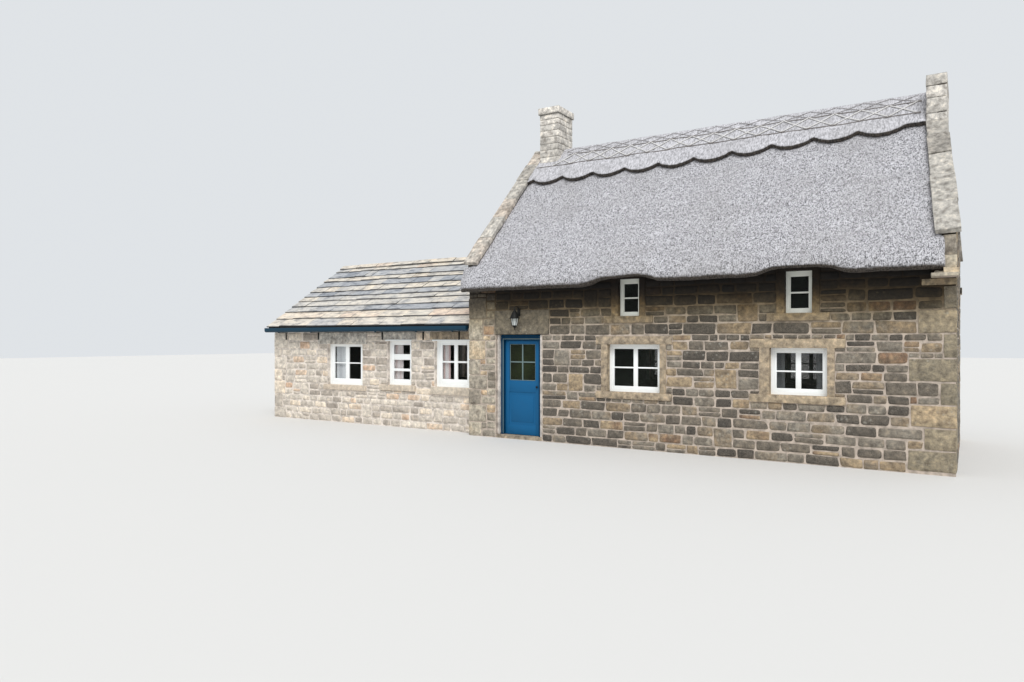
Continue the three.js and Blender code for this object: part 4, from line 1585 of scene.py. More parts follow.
@dataclass
class Thatch:
    """The two slopes and the raised ridge, re-made from the CAD solids as one soft, slightly uneven coat."""

    slope_mesh: float = 0.0295  # size of the slopes' faces
    ridge_mesh: float = 0.024  # size of the ridge's faces
    lumps: float = 0.03  # height of the wide unevenness
    tufts: float = 0.012  # height of the fine unevenness
    first: float = -8.22  # left end of the ridge's rods
    last: float = -0.60  # right end of them
    liggers: Pair = (1.885, 2.11)  # places across the house of the long dark rods
    crown: float = 2.275  # place across the house where the upper spars end
    pitch: float = 0.90  # distance between the spars' crossings

    def _coat(self, node: Item, name: str, material: Material, mesh: float) -> Item:
        """Copies a solid, closes it over with an even mesh and makes it a little uneven.

        Args:
            node: The CAD node.
            name: Name of the new piece.
            material: Its finish.
            mesh: Size of the mesh's faces.

        Returns:
            The coat.
        """
        coat = Bench.copy_of(node, name)
        Bench.apply(coat, "REMESH", mode="VOXEL", voxel_size=mesh, use_smooth_shade=True)
        Bench.apply(coat, "SMOOTH", factor=0.4, iterations=1)
        for kind, size, depth, height in (("lumps", 0.55, 3, self.lumps), ("tufts", 0.045, 1, self.tufts)):
            cloud = bpy.data.textures.new(f"{name}_{kind}", "CLOUDS")
            cloud.noise_scale = size
            cloud.noise_depth = depth
            Bench.apply(coat, "DISPLACE", texture=cloud, texture_coords="LOCAL", strength=height)
        dress(coat, material, "thatch")
        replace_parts(coat, node.name)
        LOG.info("%s: %d faces", name, len(coat.data.polygons))
        return coat

    def _rods(self, coat: Item, side: Side) -> dict[str, list[Item]]:
        """Long rods along one side of the ridge, and the crossed spars that hold them.

        Args:
            coat: The ridge's coat, which they lie on.
            side: The side of the ridge.

        Returns:
            The dark rods and the pale ones.
        """
        rods: dict[str, list[Item]] = {"dark": [], "pale": []}

        def on_coat(x: float, y: float, lift: float) -> Vector:
            """A place on the coat, raised a little off it.

            Args:
                x: Place along the house.
                y: Place across it, as on the front.
                lift: Distance from the coat.

            Returns:
                The place.
            """
            above = spot(x, side.across(y, HOUSE_DEPTH / 2), 8.0)
            _, place, normal, _ = coat.ray_cast(above, Vector((0.0, 0.0, -1.0)))
            return place + normal * lift

        def lay(kind: str, a: Pair, b: Pair, radius: float, lift: float) -> None:
            """A rod over the coat from one place to another, in short straight pieces.

            Args:
                kind: "dark" or "pale".
                a: Where it starts.
                b: Where it ends.
                radius: Half its thickness.
                lift: Distance from the coat.
            """
            steps = max(1, round(math.dist(a, b) / 0.24))
            ways = [k / steps for k in range(steps + 1)]
            path = [on_coat(a[0] + (b[0] - a[0]) * w, a[1] + (b[1] - a[1]) * w, lift) for w in ways]
            for p, q in zip(path, path[1:]):
                rods[kind].append(Bench.rod("rod", p, q + (q - p).normalized() * radius, radius))

        for y in self.liggers:
            lay("dark", (self.first, y), (self.last, y), 0.011, 0.004)
        low, high = self.liggers
        for k in range(int((self.last - self.first) / self.pitch)):
            x = self.last - k * self.pitch
            half = self.pitch / 2
            for kind, y0, y1, radius in (
                ("pale", low, high, 0.012), ("pale", high, low, 0.012), ("dark", high, self.crown, 0.0045),
                ("dark", self.crown, high, 0.0045),
            ):
                lay(kind, (x, y0), (x - half, y1), radius, 0.012)
                lay(kind, (x - half, y1), (x - self.pitch, y0), radius, 0.012)
            for place in (x, x - half):
                for y in (low, high):
                    lay("dark", (place - 0.035, y), (place + 0.035, y), 0.02, 0.006)
        return rods

    def build(self, nodes: dict[str, Item], finishes: Finishes) -> None:
        """Makes the thatch.

        Args:
            nodes: The CAD nodes by name.
            finishes: The materials.
        """
        self._coat(nodes["thatch_front"], "thatch_coat_front", finishes.thatch, self.slope_mesh)
        self._coat(nodes["thatch_back"], "thatch_coat_back", finishes.thatch, self.slope_mesh)
        ridge = self._coat(nodes["thatch_ridge"], "thatch_coat_ridge", finishes.ridge, self.ridge_mesh)
        bpy.context.view_layer.update()
        sides = [self._rods(ridge, side) for side in Side]
        for kind, name, material in (
            ("dark", "ridge_liggers", finishes.hazel), ("pale", "ridge_spars", finishes.spar),
        ):
            rods = [rod for side in sides for rod in side[kind]]
            piece = Bench.join(rods, name)
            Bench.smooth(piece, 65)
            dress(piece, material, "thatch")
            LOG.info("%s: %d rods", name, len(rods))


@dataclass
class SlateRoof:
    """Stone slates in courses that get shallower towards the ridge, and the ridge stones."""

    # Distances of the courses' lower edges from the eave, up the slope
    tails: tuple[float, ...] = (
        -0.03, 0.344, 0.674, 0.948, 1.232, 1.477, 1.729, 2.015, 2.311, 2.533, 2.877, 3.14,
    )
    # Usual tone of each course
    tones: tuple[float, ...] = (0.68, 0.8, 0.34, 0.62, 0.52, 0.26, 0.62, 0.3, 0.62, 0.36, 0.66)
    left: float = ANNEX_LEFT - 0.045  # left end of the courses
    right: float = -HOUSE_LENGTH - 0.016
    tail_rise: float = 0.044  # height of a slate's lower edge over the CAD roof
    head_rise: float = 0.006  # height of its upper edge
    lap: float = 0.09  # how far a slate runs under the next course
    wide_courses: int = 5  # number of courses with wide slates, from the eave
    wide: Pair = (0.4, 1.1)  # least and greatest width there
    narrow: Pair = (0.26, 0.7)  # the same in the courses above
    ridge_wide: Pair = (0.5, 0.85)  # least and greatest length of a ridge stone
    ridge_size: Pair = (0.19, 0.044)  # breadth and thickness of each of its sides

    def _slope(self, kit: StoneKit, side: Side, seed: int) -> list[Item]:
        """Lays the slates of one slope.

        Args:
            kit: The blocks to copy.
            side: The side of the roof.
            seed: Seed of the irregularity.

        Returns:
            The slates.
        """
        dice = random.Random(seed)
        angle = math.atan(ANNEX_SLOPE)
        up = Vector((0, math.cos(angle) * side.value, math.sin(angle)))
        along = Vector((side.value, 0, 0))
        out = along.cross(up)
        eave = spot(0, side.across(ANNEX_EAVE[0], ANNEX_MIDDLE), ANNEX_EAVE[1])
        slates = []
        for k, (a, b) in enumerate(zip(self.tails, self.tails[1:])):
            x = self.left
            drift = dice.uniform(-0.1, 0.1)
            while x < self.right - 0.02:
                width = dice.uniform(*(self.wide if k < self.wide_courses else self.narrow))
                if self.right - x - width < 0.24:
                    width = self.right - x
                tail = a + dice.uniform(-0.014, 0.014)
                length = b - tail + (self.lap if k < len(self.tones) - 1 else 0.0)
                thick = dice.uniform(0.030, 0.042)
                rise = self.tail_rise + dice.uniform(-0.005, 0.006)
                tilt = math.atan2(rise - self.head_rise, length)
                middle = eave + up * (tail + length / 2) + out * ((rise + self.head_rise - thick) / 2)
                middle.x = CORNER.x + x + width / 2
                place = frame_of(along, up, middle) @ Matrix.Rotation(-tilt, 4, "X")
                tone = min(1.0, max(0.0, self.tones[k] + drift + dice.gauss(0, 0.09)))
                size = (width - dice.uniform(0.003, 0.007), length, thick)
                slates.append(kit.block(Cut.SLAB, size, place, tone, dice, 0.006))
                x += width
        return slates

    def _ridge_stones(self, kit: StoneKit) -> list[Item]:
        """Lays the angled ridge stones over the two slopes.

        Args:
            kit: The blocks to copy.

        Returns:
            The stones.
        """
        dice = random.Random(41)
        angle = math.atan(ANNEX_SLOPE)
        stones = []
        x = self.left
        while x < self.right - 0.02:
            width = dice.uniform(*self.ridge_wide)
            if self.right - x - width < 0.35:
                width = self.right - x
            tone = dice.uniform(0.62, 0.95)
            rise = 0.062 + dice.uniform(-0.006, 0.006)
            crest = spot(x + width / 2, ANNEX_MIDDLE, annex_top(ANNEX_MIDDLE) + rise)
            for side in Side:
                up = Vector((0, math.cos(angle) * side.value, math.sin(angle)))
                along = Vector((side.value, 0, 0))
                place = frame_of(along, up, crest - up * 0.082 - along.cross(up) * 0.022)
                size = (width - 0.008, *self.ridge_size)
                stones.append(kit.block(Cut.SLAB, size, place, tone, dice, 0.004))
            x += width
        return stones

    def build(self, kit: StoneKit, finishes: Finishes) -> None:
        """Lays both slopes and the ridge stones.

        Args:
            kit: The blocks to copy.
            finishes: The materials.
        """
        for side, name, seed in ((Side.FRONT, "slates_front", 31), (Side.BACK, "slates_back", 37)):
            finish_stones(self._slope(kit, side, seed), name, finishes.slate, "stone_slate", 0.012)
        stones = self._ridge_stones(kit)
        piece = finish_stones(stones, "annex_ridge_stones", finishes.slate, "stone_slate", 0.01)
        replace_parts(piece, "annex_ridge")


@dataclass
class Copings:
    """Sloping slabs on the gable parapets, cut into separate stones."""

    # Places of the right gable's joints across the house
    right_joints: tuple[float, ...] = (-0.15, 0.30, 0.725, 1.09, 1.43, 1.722)
    left_joints: tuple[float, ...] = (-0.15, 0.36, 0.8, 1.2, 1.64, 2.02, 2.36)  # the same on the left gable
    width: float = 0.32  # width of a slab
    inset: float = 0.10  # distance of its middle from the gable's face
    thickness: float = 0.086

    def _run(
        self, kit: StoneKit, outer: float, inwards: int, joints: Sequence[float], side: Side, seed: int
    ) -> list[Item]:
        """Lays one run of slabs up a slope.

        Args:
            kit: The blocks to copy.
            outer: The gable's outer face.
            inwards: Direction of the thatch along x, 1 or -1.
            joints: Places of the joints, as on the front.
            side: The side of the roof.
            seed: Seed of the irregularity.

        Returns:
            The slabs.
        """
        dice = random.Random(seed)
        up = Vector((inwards * LEAN * ROOF_SLOPE, side.value, ROOF_SLOPE)).normalized()
        along = Vector((side.value, 0, 0))
        along = (along - up * along.dot(up)).normalized()
        out = along.cross(up)
        slabs = []
        for a, b in zip(joints, joints[1:]):
            middle = (a + b) / 2
            z = COPING_TOP + ROOF_SLOPE * middle
            length = (b - a) * math.hypot(1, ROOF_SLOPE) - 0.008
            x = outer + inwards * (self.inset + LEAN * max(0.0, z - LEAN_FROM))
            thick = self.thickness + dice.uniform(0.0, 0.012)
            top = spot(x, side.across(middle, HOUSE_DEPTH / 2), z) + out * dice.uniform(-0.002, 0.008)
            size = (self.width + dice.uniform(-0.008, 0.012), length, thick)
            place = frame_of(along, up, top - out * thick / 2)
            slabs.append(kit.block(Cut.HEWN, size, place, dice.uniform(0.15, 0.95), dice, 0.008))
        return slabs

    def build(self, kit: StoneKit, finishes: Finishes) -> None:
        """Lays the four runs, each in place of its CAD node.

        Args:
            kit: The blocks to copy.
            finishes: The materials.
        """
        for name, outer, inwards, joints in (
            ("left", -HOUSE_LENGTH, 1, self.left_joints), ("right", 0.0, -1, self.right_joints),
        ):
            for side, end in ((Side.FRONT, "front"), (Side.BACK, "back")):
                node = f"{name}_coping_{end}"
                slabs = self._run(kit, outer, inwards, joints, side, 50 + len(node) + inwards)
                piece = finish_stones(slabs, f"{node}_slabs", finishes.coping, "coping_stone", 0.016)
                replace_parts(piece, node)


@dataclass
class Stack:
    """Chimney stones laid round a CAD stack."""

    name: str
    x: Pair  # left and right face
    y: Pair  # front and back face
    beds: Sequence[float]  # heights of the bed joints under the cap
    top: float
    cap: float  # how far the cap stands out
    # Shares of the depth where the upright joints are, for even and odd courses
    cuts: tuple[tuple[float, ...], tuple[float, ...]]
    seed: int

    PROUD = 0.012

    def _stone(self, kit: StoneKit, dice: random.Random, ys: Pair, zs: Pair, out: float) -> Item:
        """One block right through the stack.

        Args:
            kit: The blocks to copy.
            dice: The source of its irregularity.
            ys: Its front and back.
            zs: Its foot and head.
            out: How far it stands out of the stack.

        Returns:
            The stone.
        """
        low = spot(self.x[0] - out, ys[0], zs[0] + 0.004)
        high = spot(self.x[1] + out, ys[1], zs[1] - 0.004)
        return kit.box(Cut.HEWN, low, high, dice.uniform(0.25, 0.95), dice, 0.004)

    def build(self, kit: StoneKit, finishes: Finishes) -> None:
        """Lays the courses and the cap.

        Args:
            kit: The blocks to copy.
            finishes: The materials.
        """
        dice = random.Random(self.seed)
        y0, y1 = self.y
        stones = []
        for k, zs in enumerate(zip(self.beds, self.beds[1:])):
            inner = [y0 + (y1 - y0) * share for share in self.cuts[k % 2]]
            marks = [y0 - self.PROUD, *inner, y1 + self.PROUD]
            for a, b in zip(marks, marks[1:]):
                stones.append(self._stone(kit, dice, (a + 0.003, b - 0.003), zs, self.PROUD))
        out = self.cap + 0.006
        stones.append(self._stone(kit, dice, (y0 - out, y1 + out), (self.beds[-1], self.top), out))
        finish_stones(stones, self.name, finishes.stack_stone, "gritstone", 0.012)


@dataclass
class Door:
    """Rails, panel and bars of the half-glazed door, pale beads that paint a highlight along the frame, and
    the lime margins beside it.
    """

    left: float = -7.955  # left edge of the leaf
    right: float = -7.14
    foot: float = 0.076
    head: float = 2.0
    face: float = 0.155  # outer face of the leaf
    frame_face: float = 0.10  # outer face of the frame
    glass: Patch = Patch(-7.851, -7.243, 1.183, 1.928)
    panel_head: float = 0.944  # height of the lower panel's head
    bar: float = 1.56  # height of the bar across the glass

    def _raised(self, x0: float, x1: float, z0: float, z1: float, out: float) -> Item:
        """A softened strip on the leaf's outer face."""
        return Bench.block("rail", spot(x0, self.face - out, z0), spot(x1, self.face + 0.002, z1), 0.003)

    def _leaf(self, finishes: Finishes) -> None:
        """Stiles, rails and the flat lower panel with its moulding.

        Args:
            finishes: The materials.
        """
        g = self.glass
        edge = 0.012
        a, b = g.u0 - edge, g.u1 + edge
        lap, rail_out = 0.004, 0.0085
        rows = (
            (self.left, a, self.foot, self.head, 0.009), (b, self.right, self.foot, self.head, 0.009),
            (a - lap, b + lap, g.z1 + edge, self.head, rail_out),
            (a - lap, b + lap, self.panel_head, g.z0 - edge, rail_out),
            (a - lap, b + lap, self.foot, self.foot + 0.2, rail_out),
            (a + 0.05, b - 0.05, self.foot + 0.26, self.panel_head - 0.06, 0.005),
        )
        parts = [self._raised(*row) for row in rows]
        assemble(parts, "door_rails", finishes.blue, "blue_paint", "door")

    def _bars(self, finishes: Finishes) -> None:
        """The cross bars and the beads round the glass.

        Args:
            finishes: The materials.
        """
        g = self.glass
        middle, depth = (g.u0 + g.u1) / 2, self.face + 0.0225
        parts = [
            Bench.block("bar", spot(x0, depth - near, z0), spot(x1, depth + far, z1), edge)
            for x0, x1, z0, z1, near, far, edge in (
                (middle - 0.0135, middle + 0.0135, g.z0 - 0.002, g.z1, 0.02, 0.018, 0.004),
                (g.u0, g.u1, self.bar - 0.0125, self.bar + 0.0125, 0.019, 0.017, 0.004),
                (g.u0, g.u0 + 0.013, g.z0, g.z1, 0.017, -0.004, 0.003),
                (g.u1 - 0.009, g.u1, g.z0, g.z1, 0.017, -0.004, 0.003),
                (g.u0, g.u1, g.z0, g.z0 + 0.013, 0.017, -0.004, 0.003),
                (g.u0, g.u1, g.z1 - 0.009, g.z1, 0.017, -0.004, 0.003),
            )
        ]
        assemble(parts, "door_glazing_bars", finishes.bar_and_highlight_blue, "blue_paint", "door")

    def _surroundings(self, finishes: Finishes) -> None:
        """Pale beads that paint the highlight along the frame's inner edge, the lime margins between frame and
        stones, and the head fillet in painted shade.

        Args:
            finishes: The materials.
        """
        # Painted highlight: pale beads along the frame's inner edge and head
        highlight_bead, half, head = -7.981, 0.008, 2.033
        near, far = self.frame_face - 0.006, self.frame_face + 0.004
        parts = [
            Bench.block("highlight_bead", spot(highlight_bead - half, near, 0.09), spot(highlight_bead + half, far, head + half), 0.003),
            Bench.block("highlight_bead", spot(highlight_bead, near + 0.0005, head - half), spot(-7.09, far, head + half), 0.003),
        ]
        assemble(parts, "door_frame_highlight_beads", finishes.bar_and_highlight_blue, "blue_paint")
        margins = [
            Bench.block("margin", spot(-8.094, 0.045, 0.07), spot(-8.036, 0.19, 2.118), 0.01),
            Bench.block("margin", spot(-7.056, 0.02, 0.07), spot(-6.998, 0.19, 2.118), 0.01),
        ]
        assemble(margins, "door_lime_margins", finishes.lime, "gritstone")
        # The fillet under the lintel, in the frame's painted-shade blue
        fillet = Bench.block("fillet", spot(-8.034, 0.1, 2.081), spot(-7.058, 0.19, 2.119), 0.004)
        assemble([fillet], "door_head_fillet", finishes.shaded_frame_blue, "blue_paint")

    def build(self, finishes: Finishes) -> None:
        """Makes the door's details.

        Args:
            finishes: The materials.
        """
        self._leaf(finishes)
        self._bars(finishes)
        self._surroundings(finishes)
        LOG.info("door: rails, bars, beads and margins")


@dataclass
class Lantern:
    """Wall lantern with a six-sided roof, six panes and a curled arm, in place of the plain CAD one."""

    x: float = -7.525  # its middle along the front
    out: float = 0.1835  # distance of its middle from the wall
    sides: int = 6
    # Foot, head, lower radius and upper radius of each tapered part of the ironwork
    rings: tuple[tuple[float, float, float, float], ...] = (
        (2.438, 2.452, 0.122, 0.12), (2.452, 2.56, 0.108, 0.056), (2.556, 2.604, 0.058, 0.024),
        (2.60, 2.632, 0.025, 0.012), (2.284, 2.302, 0.05, 0.06), (2.246, 2.286, 0.012, 0.046),
        (2.214, 2.25, 0.005, 0.013),
    )
    # Foot, head, lower radius and upper radius of the panes
    glass: tuple[float, float, float, float] = (2.30, 2.44, 0.052, 0.078)
    # Places (distance from the wall, height) along the arm
    arm: tuple[Pair, ...] = ((0.03, 2.60), (0.06, 2.672), (0.12, 2.684), (0.172, 2.664), (0.1835, 2.628))

    def _ring(self, name: str, foot: float, head: float, lower: float, upper: float) -> Item:
        """A tapered six-sided ring or cone of the lantern.

        Args:
            name: The object's name.
            foot: Height of its foot.
            head: Height of its head.
            lower: Radius at its foot.
            upper: Radius at its head.

        Returns:
            The ring.
        """
        bpy.ops.object.select_all(action="DESELECT")
        bpy.ops.mesh.primitive_cone_add(
            vertices=self.sides, radius1=lower, radius2=upper, depth=head - foot,
            location=spot(self.x, -self.out, (foot + head) / 2), rotation=(0, 0, math.radians(30)),
        )
        item = Bench.settle(bpy.context.object, name)
        Bench.bevel(item, 0.002, 1)
        return item

    def _curled_arm(self) -> Item:
        """The arm, swept along a curve and closed at its ends.

        Returns:
            The arm.
        """
        curve = bpy.data.curves.new("lantern_arm", "CURVE")
        curve.dimensions = "3D"
        curve.bevel_depth = 0.0085
        curve.bevel_resolution = 3
        curve.use_fill_caps = True
        spline = curve.splines.new("BEZIER")
        spline.bezier_points.add(len(self.arm) - 1)
        for point, (out, z) in zip(spline.bezier_points, self.arm):
            point.co = spot(self.x, -out, z)
            point.handle_left_type = point.handle_right_type = "AUTO"
        Bench.only(Bench.link("lantern_arm", curve))
        bpy.ops.object.convert(target="MESH")
        return bpy.context.object

    def build(self, finishes: Finishes) -> None:
        """Makes the lantern's ironwork and its glass.

        Args:
            finishes: The materials.
        """
        low, high = spot(self.x - 0.034, -0.034, 2.49), spot(self.x + 0.034, -0.018, 2.645)
        iron = [Bench.block("plate", low, high, 0.006), self._curled_arm()]
        iron += [self._ring("ring", *ring) for ring in self.rings]
        foot, head, lower, upper = self.glass
        for k in range(self.sides):
            angle = math.radians(30 + 60 * k)
            ray = Vector((math.cos(angle), math.sin(angle), 0))
            a, b = spot(self.x, -self.out, foot), spot(self.x, -self.out, head)
            iron.append(Bench.rod("strut", a + ray * (lower + 0.002), b + ray * (upper + 0.002), 0.0045))
        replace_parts(assemble(iron, "lantern_iron", finishes.black, "black_iron"), "wall_lantern")
        # Panes in pale glass: a painted reflection
        panes = self._ring("lantern_panes", *self.glass)
        dress(panes, finishes.lantern_glass_reflection, "pane")
        LOG.info("lantern")


def two_lights(name: str, x: Pair, z: Pair, stile: float, foot: float) -> Opening:
    """A window of two equal lights, each with one bar across.

    Args:
        name: The window's name.
        x: Left and right edge of its frame.
        z: Foot and head of its frame.
        stile: Width of frame and sash at the sides.
        foot: Height of frame and sash at the foot.

    Returns:
        The window.
    """
    head, half_mullion, half_bar = 0.085, 0.042, 0.014
    middle = sum(x) / 2
    bar = (z[0] + foot + z[1] - head) / 2
    uprights = ((middle - half_mullion, middle + half_mullion),)
    return Opening(name, *x, *z, stile, foot, head, uprights, ((bar - half_bar, bar + half_bar),))


def small_light(name: str, x: Pair, z: Pair) -> Opening:
    """A small upstairs window with one bar across."""
    return Opening(name, *x, *z, 0.074, 0.08, 0.09, (), ((2.778, 2.806),), True)


FRONT_HOUSE = (
    two_lights("lower_left", (-5.586, -4.55), (1.045, 1.93), 0.09, 0.105),
    Opening(
        "lower_right", -2.646, -1.752, 1.105, 1.882, 0.09, 0.105, 0.085,
        ((-2.254, -2.169),), ((1.48, 1.506),),
    ),
    small_light("upper_left", (-5.37, -4.945), (2.455, 3.145)),
    small_light("upper_right", (-2.407, -1.98), (2.455, 3.145)),
)
BACK_HOUSE = (
    two_lights("back_lower_left", (-6.5, -5.464), (1.045, 1.905), 0.09, 0.105),
    two_lights("back_lower_right", (-3.3, -2.264), (1.045, 1.905), 0.09, 0.105),
    small_light("back_upper", (-4.583, -4.178), (2.46, 3.15)),
)
FRONT_ANNEX = (
    Opening(
        "annex_left", -13.284, -12.125, 0.912, 1.906, 0.138, 0.152, 0.06,
        ((-12.769, -12.651),), ((1.434, 1.462),),
    ),
    Opening(
        "annex_middle", -11.325, -10.612, 0.965, 1.985, 0.11, 0.132, 0.09,
        (), ((1.287, 1.346), (1.547, 1.682)),
    ),
    Opening(
        "annex_right", -9.93, -8.957, 0.965, 1.987, 0.144, 0.174, 0.09,
        ((-9.457, -9.362),), ((1.504, 1.543),),
    ),
)
BACK_ANNEX = (two_lights("annex_back", (-12.6, -11.5), (0.912, 1.906), 0.1, 0.152),)
SURROUNDS = (
    Surround("lower_left", (-5.706, -4.435), (-5.586, -4.55), (0.92, 1.045), (1.93, 2.08), 0.11, 0.11, 0.5),
    Surround(
        "lower_right", (-2.806, -1.644), (-2.646, -1.752), (0.98, 1.105), (1.882, 2.032), 0.16, 0.16, 0.6
    ),
    Surround("upper_left", (-5.495, -4.833), (-5.37, -4.945), (2.33, 2.455), (3.145, 3.245), 0.15, 0.0, 0.7),
    Surround("upper_right", (-2.532, -1.868), (-2.407, -1.98), (2.33, 2.455), (3.145, 3.245), 0.15, 0.0, 0.8),
)


class Masonry:
    """All the laid walls of the house and the annex, with their corners, trims, kneelers and stacks."""

    HOUSE_BEDS = (
        (0.0, 0.16, 0.33, 0.5, 0.676, 0.85, 1.015, 1.162, 1.37, 1.509, 1.64, 1.826)
        + (1.997, 2.105, 2.31, 2.45, 2.62, 2.815, 2.976, 3.11, 3.26, 3.45)
    )
    ANNEX_BEDS = (0.0, 0.16, 0.32, 0.48, 0.62, 0.77, 0.925, 1.1, 1.265, 1.42, 1.61, 1.78, 1.98, 2.2, 2.35)
    WALL_HEAD = 3.3
    STACK_FOOT = 5.62
    PALE_END = -8.10
    ANNEX_JOINT = 0.014
    DOOR_GAP = Patch(-8.095, -6.997, 0.0, 2.12)
    LINTEL = Patch(-8.125, -6.833, 2.118, 2.614)
    LINTEL_END = Patch(-8.125, -8.0, 2.118, 2.614)
    RIGHT_CORNER = (
        Quoin(0.04, 0.36, 0.62, 0.28), Quoin(0.36, 0.70, 0.40, 0.52), Quoin(0.70, 1.045, 0.58, 0.30),
        Quoin(1.045, 1.385, 0.19, 0.55), Quoin(1.385, 1.74, 0.60, 0.27), Quoin(1.74, 2.11, 0.15, 0.5),
        Quoin(2.11, 2.47, 0.48, 0.3), Quoin(2.47, 2.82, 0.15, 0.48), Quoin(2.82, 2.94, 0.44, 0.3),
    )
    RIGHT_FIXED = (
        Patch(-0.5, -0.202, 1.15, 1.385), Patch(-0.46, -0.162, 1.82, 1.975),
        Patch(-0.54, -0.162, 2.63, 2.82),
    )
    LEFT_CORNER = (
        Quoin(0.0, 0.3, 0.30, 0.27), Quoin(0.3, 0.66, 0.42, 0.26), Quoin(0.66, 0.98, 0.28, 0.27),
        Quoin(0.98, 1.28, 0.44, 0.25), Quoin(1.28, 1.6, 0.26, 0.27), Quoin(1.6, 2.0, 0.40, 0.26),
        Quoin(2.0, 2.45, 0.33, 0.27), Quoin(2.45, 2.9, 0.42, 0.26),
    )
    KNEELERS = (
        (0.36, -0.04, 0.306, 2.935, 2.987), (0.20, 0.0, 0.27, 2.99, 3.03),
        (0.30, -0.04, 0.15, 2.988, 3.064), (0.14, -0.01, 0.16, 3.06, 3.255),
        (0.05, 0.0, 0.236, 3.258, 3.56),
    )

    def __init__(self, kit: StoneKit, finishes: Finishes) -> None:
        """Keeps the blocks and the materials, and sets out the corners.

        Args:
            kit: The blocks to copy.
            finishes: The materials.
        """
        self.kit = kit
        self.finishes = finishes
        wide, deep = -HOUSE_LENGTH, HOUSE_DEPTH
        self.front_right = Corner(0.0, 0.0, -1, 1, self.RIGHT_CORNER, 0.3)
        self.front_left = Corner(wide, 0.0, 1, 1, self.LEFT_CORNER, 0.8)
        self.back_right = Corner(0.0, deep, -1, -1, Corner.column(2.94, 6))
        self.back_left = Corner(wide, deep, 1, -1, Corner.column(2.94, 8, first_short=True))
        self.annex_front = Corner(ANNEX_LEFT, ANNEX_FRONT, 1, 1, Corner.column(2.2, 9, 0.5))
        self.annex_back = Corner(ANNEX_LEFT, ANNEX_BACK, 1, -1, Corner.column(2.2, 10, 0.5))
        across = [Quoin(q.z0, q.z1, q.along_x, 0.57) for q in Corner.column(2.25, 22, 0.5)]
        self.annex_return = Corner(wide, ANNEX_BACK, -1, -1, across)

    def _wall_head(self, u: float) -> float:
        """Height of the house's long walls, the same all along them."""
        return self.WALL_HEAD

    @staticmethod
    def _annex_head(u: float) -> float:
        """Height of the annex's long walls, the same all along them."""
        return ANNEX_HEAD

    @staticmethod
    def _gable_top(y: float) -> float:
        """Height under the gable's copings."""
        return COPING_UNDER + ROOF_SLOPE * min(y, HOUSE_DEPTH - y) + 0.02

    @staticmethod
    def _beds(high: float, seed: int) -> tuple[float, ...]:
        """Bed joints at uneven heights up to a height.

        Args:
            high: The height.
            seed: Seed of the irregularity.

        Returns:
            The joints.
        """
        dice = random.Random(seed)
        beds = [0.0]
        while beds[-1] < high:
            beds.append(beds[-1] + dice.uniform(0.12, 0.2))
        return tuple(beds)

    def _trims(
        self, name: str, sizes: Iterable[Trim], wall: float, side: Side, material: Material, seed: int
    ) -> None:
        """Lintels and sills set into a wall.

        Args:
            name: Name of the finished piece.
            sizes: Left, right, foot, head and projection of each.
            wall: The wall's outer face, across the house.
            side: The side that it is on.
            material: The stones' finish.
            seed: Seed of the irregularity.
        """
        dice = random.Random(seed)
        stones = []
        for x0, x1, z0, z1, out in sizes:
            near, far = wall - side.value * out, wall + side.value * 0.08
            low, high = spot(x0, min(near, far), z0), spot(x1, max(near, far), z1)
            stones.append(self.kit.box(Cut.DRESSED, low, high, dice.uniform(0.2, 0.8), dice, 0.003))
        finish_stones(stones, name, material, "dressed_stone")

    @staticmethod
    def _heads_and_sills(windows: Sequence[Opening]) -> list[Trim]:
        """Sizes of a plain lintel and sill for each window.

        Args:
            windows: The windows.

        Returns:
            The sizes.
        """
        sizes = []
        for w in windows:
            sizes.append((w.x0 - 0.15, w.x1 + 0.15, w.z1, w.z1 + 0.16, 0.018))
            sizes.append((w.x0 - 0.11, w.x1 + 0.11, w.z0 - 0.13, w.z0 + 0.002, 0.05))
        return sizes

    @staticmethod
    def _patches(sizes: Iterable[Trim], sign: int = 1) -> list[Patch]:
        """The patches that lintels and sills take up on a wall whose u runs with x or against it."""
        return [Patch(*sorted((sign * x0, sign * x1)), z0, z1) for x0, x1, z0, z1, _ in sizes]

    def front(self) -> None:
        """The house's front, with its measured courses; the stones left of the door are paler."""
        openings = [self.DOOR_GAP, self.LINTEL]
        openings += [patch for surround in SURROUNDS for patch in surround.holes()]
        LaidWall(
            "house_front_stones", (0, 0, 0), (1, 0, 0), self.PALE_END, LAP, self.HOUSE_BEDS, self._wall_head,
            holes=openings + self.front_right.holes("x", 1), fixed=self.RIGHT_FIXED, seed=11, shade=1.0,
        ).build(self.kit, self.finishes.house_stone)
        LaidWall(
            "left_of_door_stones", (0, 0, 0), (1, 0, 0), -HOUSE_LENGTH - LAP, self.PALE_END, self.HOUSE_BEDS,
            self._wall_head, holes=self.front_left.holes("x", 1) + [self.LINTEL_END], seed=12, shade=0.85,
        ).build(self.kit, self.finishes.pale_stone)
        dice = random.Random(29)
        for surround in SURROUNDS:
            surround.build(self.kit, self.finishes, dice)
        low, high = spot(-8.123, -0.024, 2.122), spot(-6.835, 0.26, 2.612)
        lintel = [self.kit.box(Cut.HEWN, low, high, 0.05, dice, 0.004, 0.45)]
        stone = self.finishes.corner_stone
        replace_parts(finish_stones(lintel, "door_lintel_stone", stone, "dressed_stone", 0.012), "door_lintel")

